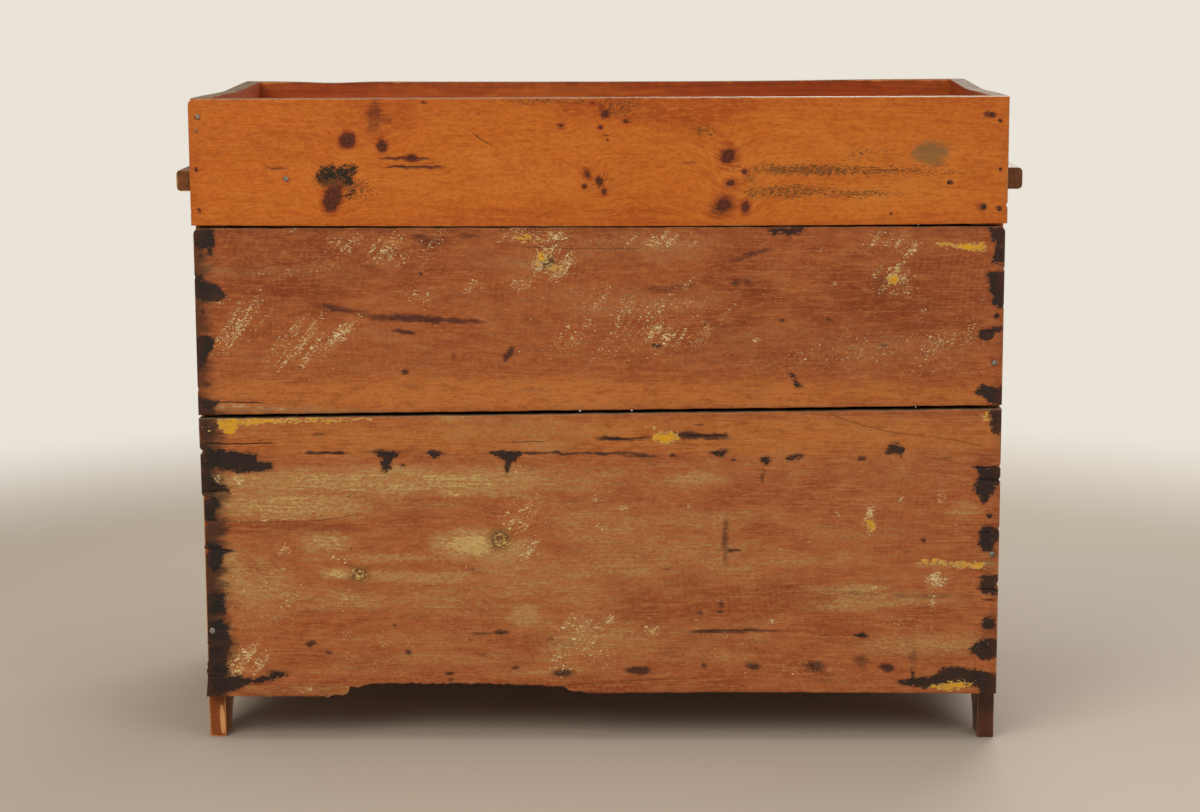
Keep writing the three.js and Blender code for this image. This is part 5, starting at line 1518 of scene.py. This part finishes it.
def domed(matrix, rings, around=18, jitter=0.0, dice=random.Random(5)):
    # a turned head: rings are (radius, height) in mm from the middle outward
    points = [tuple(matrix @ Vector((0, 0, rings[0][1] * mm)))]
    faces = []
    for radius, height in rings:
        for k in range(around):
            angle = 2 * math.pi * k / around
            away = radius * (1 + jitter * (dice.random() - 0.5)) * mm
            lift = (height + jitter * 0.4 * (dice.random() - 0.5)) * mm
            points.append(tuple(matrix @ Vector((away * math.cos(angle), away * math.sin(angle), lift))))
    for k in range(around):
        faces.append([0, 1 + k, 1 + (k + 1) % around])
        for ring in range(len(rings) - 1):
            a, b = 1 + ring * around + k, 1 + ring * around + (k + 1) % around
            faces.append([a, a + around, b + around, b])
    last = 1 + (len(rings) - 1) * around
    faces.append([last + k for k in reversed(range(around))])
    return points, faces


def shaped(radius, proud, profile, buried):
    # rings of a head from shares of its radius and of what stands proud; the last ring is buried
    rings = [(radius * wide, proud * tall) for wide, tall in profile]
    return rings[:-1] + [(rings[-1][0], -buried)]


slottedShape = {"top": 0.62, "shoulder": 0.45, "steps": 12, "buried": 1.2}


def slottedHead(matrix, look):
    # two halves of a round head with a slot between them
    radius, proud, half, steps = look["radius"], look["proud"], look["slotHalf"], slottedShape["steps"]
    depth, reach = proud - look["slotDepth"], math.sqrt(radius ** 2 - half ** 2)
    start = math.asin(half / radius)
    angles = [start + (math.pi - 2 * start) * k / steps for k in range(steps + 1)]
    points, faces = [], []

    def add(x, y, z):
        points.append(tuple(matrix @ (Vector((x, y, z)) * mm)))
        return len(points) - 1

    def arc(wide, side, height):
        return [add(wide * math.cos(a), side * max(wide * math.sin(a), half), height) for a in angles]

    for side in (1, -1):
        inner = arc(radius * slottedShape["top"], side, proud)
        rim = arc(radius, side, proud * slottedShape["shoulder"])
        base = arc(radius, side, -slottedShape["buried"])
        floor = [add(x, side * half, depth) for x in (reach, -reach)]
        wall = [rim[0], inner[0], inner[-1], rim[-1], floor[1], floor[0]]
        quads = [[one[k], two[k], two[k + 1], one[k + 1]]
                 for k in range(steps) for one, two in ((inner, rim), (rim, base))]
        faces += [face[::side] for face in [inner, wall] + quads]
    faces.append([add(x, y, depth) for x, y in
                  ((-reach, -half), (reach, -half), (reach, half), (-reach, half))])
    return points, faces


def outwardSide(node, axis, sign):
    return boxInMm(node)[sign > 0][axis]


def middleOf(node, axis):
    return sum(corner[axis] for corner in boxInMm(node)) / 2


nailLook = {"proud": 0.45, "sides": 14, "jitter": 0.16, "buried": 1.2,
            "profile": [(0.35, 1.0), (0.7, 0.92), (0.92, 0.6), (1.0, 0.1), (0.96, 0.0)]}
brightIron = ironMaterial("worn nail iron", 0.85)
darkIron = ironMaterial("dark nail iron", 0.0)


def nailed(node, axis, sign, sunk, heads, body, label="", iron=darkIron, proud=nailLook["proud"]):
    # heads are (place along one other axis, place along the next, radius) in mm
    parts = []
    for *place, radius in heads:
        place.insert(axis, outwardSide(node, axis, sign) - sign * sunk)
        outward = [sign * (k == axis) for k in range(3)]
        rings = shaped(radius, proud, nailLook["profile"], nailLook["buried"])
        parts.append(domed(facing(place, outward), rings, nailLook["sides"], nailLook["jitter"]))
    joined("nails_" + node + label, parts, iron, body)


for label, kinds in backNails.items():
    node, marks, setup = agedBoards[label]
    for kind, heads in kinds.items():
        iron = brightIron if kind == "bright" else darkIron
        nailed(node, 1, 1, 0.5, heads, setup["body"], "_" + kind, iron)

# the tray's front corners, the handles and the battens are nailed as the back is
corners = ((522, 843), (520, 802), (523, 764), (521, 716))
heads = [(side * x, z, 2.9) for side, label in sides for x, z in corners]
nailed("tray_front_board", 1, -1, 0.3, heads + [(406, 756, 2.6), (-455, 758, 2.6)], "tray")
for side, label in sides:
    handle, batten = "tray_handle_" + label, "tray_batten_" + label
    level, middle = middleOf(handle, 2), middleOf(batten, 0)
    heads = [(y, level + up, 3.0) for y, up in ((-188, 3), (-62, -4), (70, 2), (196, -2))]
    nailed(handle, 0, side, 0.55, heads, "tray")
    heads = [(middle, y, 2.8) for y in (-190, -110, -20, 55, 150, 220)]
    nailed(batten, 2, -1, 0.3, heads, "tray")
    # the ends are nailed into the shelf, the bottom boards and the frame
    heads = [(y, z, 3.1) for z in (102, 320) for y in (-180, -60, 70, 200)]
    nailed("end_board_" + label, 0, side, 0.3, heads, "case")
    heads = [(side * 521, z, 2.8) for z in (128, 268, 402, 540, 664)]
    nailed("frame_stile_" + label, 1, -1, 0.3, heads, "case", proud=0.4)

# pegs hold the mortise joints of the doors and of the frame, a little proud where the wood has shrunk
pegLook = {"radius": 3.7, "proud": 0.35, "sides": 9, "jitter": 0.08, "buried": 1.5,
           "profile": [(0.5, 1.0), (0.86, 0.8), (1.0, 0.2), (0.98, 0.0)]}
# where the pegs are, in mm: from the top, foot and edge of a stile, or at a height over the floor
doorPegs = {"fromTop": (19, 43), "fromFoot": (22, 50), "fromEdge": 13}
casePegs = {"fromTop": (15, 33), "heights": (78, 99), "fromEdge": 12}
centrePegs = {"fromTop": 24, "height": 88, "fromMiddle": 20}
pegWood = pineMaterial("peg wood", ((0, 0, 0), (1000, 1000, 1000)), "zxy", "shellac", 91.0, {
    "early": "#9A5726", "late": "#6E3616", "knots": 0.0, "wearShare": 0.0, "nearShare": 0.0,
    "glowShare": 0.8,
})


def peg(x, z, face):
    rings = shaped(pegLook["radius"], pegLook["proud"], pegLook["profile"], pegLook["buried"])
    return domed(facing((x, face, z), (0, -1, 0), x * 0.7 + z), rings, pegLook["sides"], pegLook["jitter"])


framePegs = []
frameFace, centreTop = outwardSide("frame_stile_centre", 1, -1), outwardSide("frame_stile_centre", 2, 1)
for side, label in sides:
    hinge, knob, stile = "door_hinge_stile_" + label, "door_knob_stile_" + label, "frame_stile_" + label
    low, high = outwardSide(hinge, 2, -1), outwardSide(hinge, 2, 1)
    edge = side * doorPegs["fromEdge"]
    columns = (outwardSide(hinge, 0, -side) + edge, outwardSide(knob, 0, side) - edge)
    levels = [high - drop for drop in doorPegs["fromTop"]] + [low + rise for rise in doorPegs["fromFoot"]]
    places = [(x, z) for x in columns for z in levels]
    face = outwardSide(hinge, 1, -1)
    joined("pegs_door_" + label, [peg(x, z, face) for x, z in places], pegWood, "door_" + label)
    inner, top = outwardSide(stile, 0, -side) + side * casePegs["fromEdge"], outwardSide(stile, 2, 1)
    framePegs += [(inner, top - drop) for drop in casePegs["fromTop"]]
    framePegs += [(inner, z) for z in casePegs["heights"]]
    levels = (centreTop - centrePegs["fromTop"], centrePegs["height"])
    framePegs += [(side * centrePegs["fromMiddle"], z) for z in levels]
joined("pegs_frame", [peg(x, z, frameFace) for x, z in framePegs], pegWood, "case")

# screws in the hinge leaves, whose heads stand a hair proud
screwLook = {"radius": 2.6, "proud": 0.2, "slotHalf": 0.4, "slotDepth": 0.17, "sunk": 0.3, "fromEdge": 9.0}
screwRows = [(-22, 2.5, 0.4), (0, -3.0, 1.9), (22, 2.5, 1.1)]  # (up, out, turn) from a leaf's middle
for side, label in sides:
    for leaf, outward, body in (("frame", -side, "case"), ("door", side, "door_" + label)):
        parts = []
        for level in ("upper", "lower"):
            node = "hinge_" + leaf + "_leaf_" + label + "_" + level
            x, z = middleOf(node, 0) - outward * screwLook["sunk"], middleOf(node, 2)
            y = outwardSide(node, 1, 1) - screwLook["fromEdge"]
            parts += [slottedHead(facing((x, y + out, z + up), (outward, 0, 0), turn), screwLook)
                      for up, out, turn in screwRows]
        joined("screws_hinge_" + leaf + "_" + label, parts, rubbedIron, body)

# the turn button's screw has a slotted round head
roundHeadLook = {"radius": 5.0, "proud": 3.0, "slotHalf": 0.7, "slotDepth": 1.3}
node = "turn_button_screw"
place = (0, outwardSide(node, 1, -1) + roundHeadLook["proud"], buttonPlace[2])
shank = [(1.6, -0.1), (2.4, -0.1), (2.4, place[1] - outwardSide(node, 1, 1))]
parts = [slottedHead(facing(place, (0, -1, 0), 0.5), roundHeadLook),
         domed(facing(place, (0, -1, 0)), shank)]
screw = joined("slotted_screw_turn_button", parts, rubbedIron, frame["nodes"][node]["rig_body"])
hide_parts(node)

# knobs turned on a lathe, with a bead at the foot and a worn face
knobLook = {
    # (radius, reach) in mm from the door's face, outward
    "profile": [
        (5.0, -21.9), (5.0, 0.3), (10.6, 0.3), (11.0, 0.8), (11.0, 2.4), (10.4, 3.4), (9.0, 4.0),
        (8.3, 5.4), (8.0, 7.6), (8.1, 9.6), (9.0, 11.2), (11.0, 12.6), (13.2, 14.1), (14.9, 15.9),
        (15.8, 17.8), (16.0, 19.4), (15.7, 21.4), (14.6, 23.4), (12.4, 25.0), (9.6, 26.0), (6.8, 26.5),
        (6.2, 26.3), (5.4, 26.4), (2.5, 26.98),
    ],
    "sides": 40,
    "radius": 16,
    "depths": (-279, -230),
    "wood": {"knots": 0.0, "ringWidth": 2.2, "pithDepth": -12.0, "wearShare": 0.0},
}
for (side, label), seed in zip(sides, (67.0, 53.0)):
    x, y, z = knobPlaces[label]
    wood = dict(knobLook["wood"], marks=[((x, -282.0, z), 6.0, 17.0, "#A56A3A", 0.6, -0.08)])
    radius, (front, back) = knobLook["radius"], knobLook["depths"]
    knobBox = ((x - radius, front, z - radius), (x + radius, back, z + radius))
    material = pineMaterial("knob wood " + label, knobBox, "yxz", "hardwood", seed, wood)
    turned = domed(facing((x, y, z), (0, -1, 0)), knobLook["profile"][::-1], knobLook["sides"])
    knob = joined("turned_knob_" + label, [turned], material, "door_" + label)
    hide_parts("door_knob_" + label)
print("nails, pegs, screws and knobs are in")
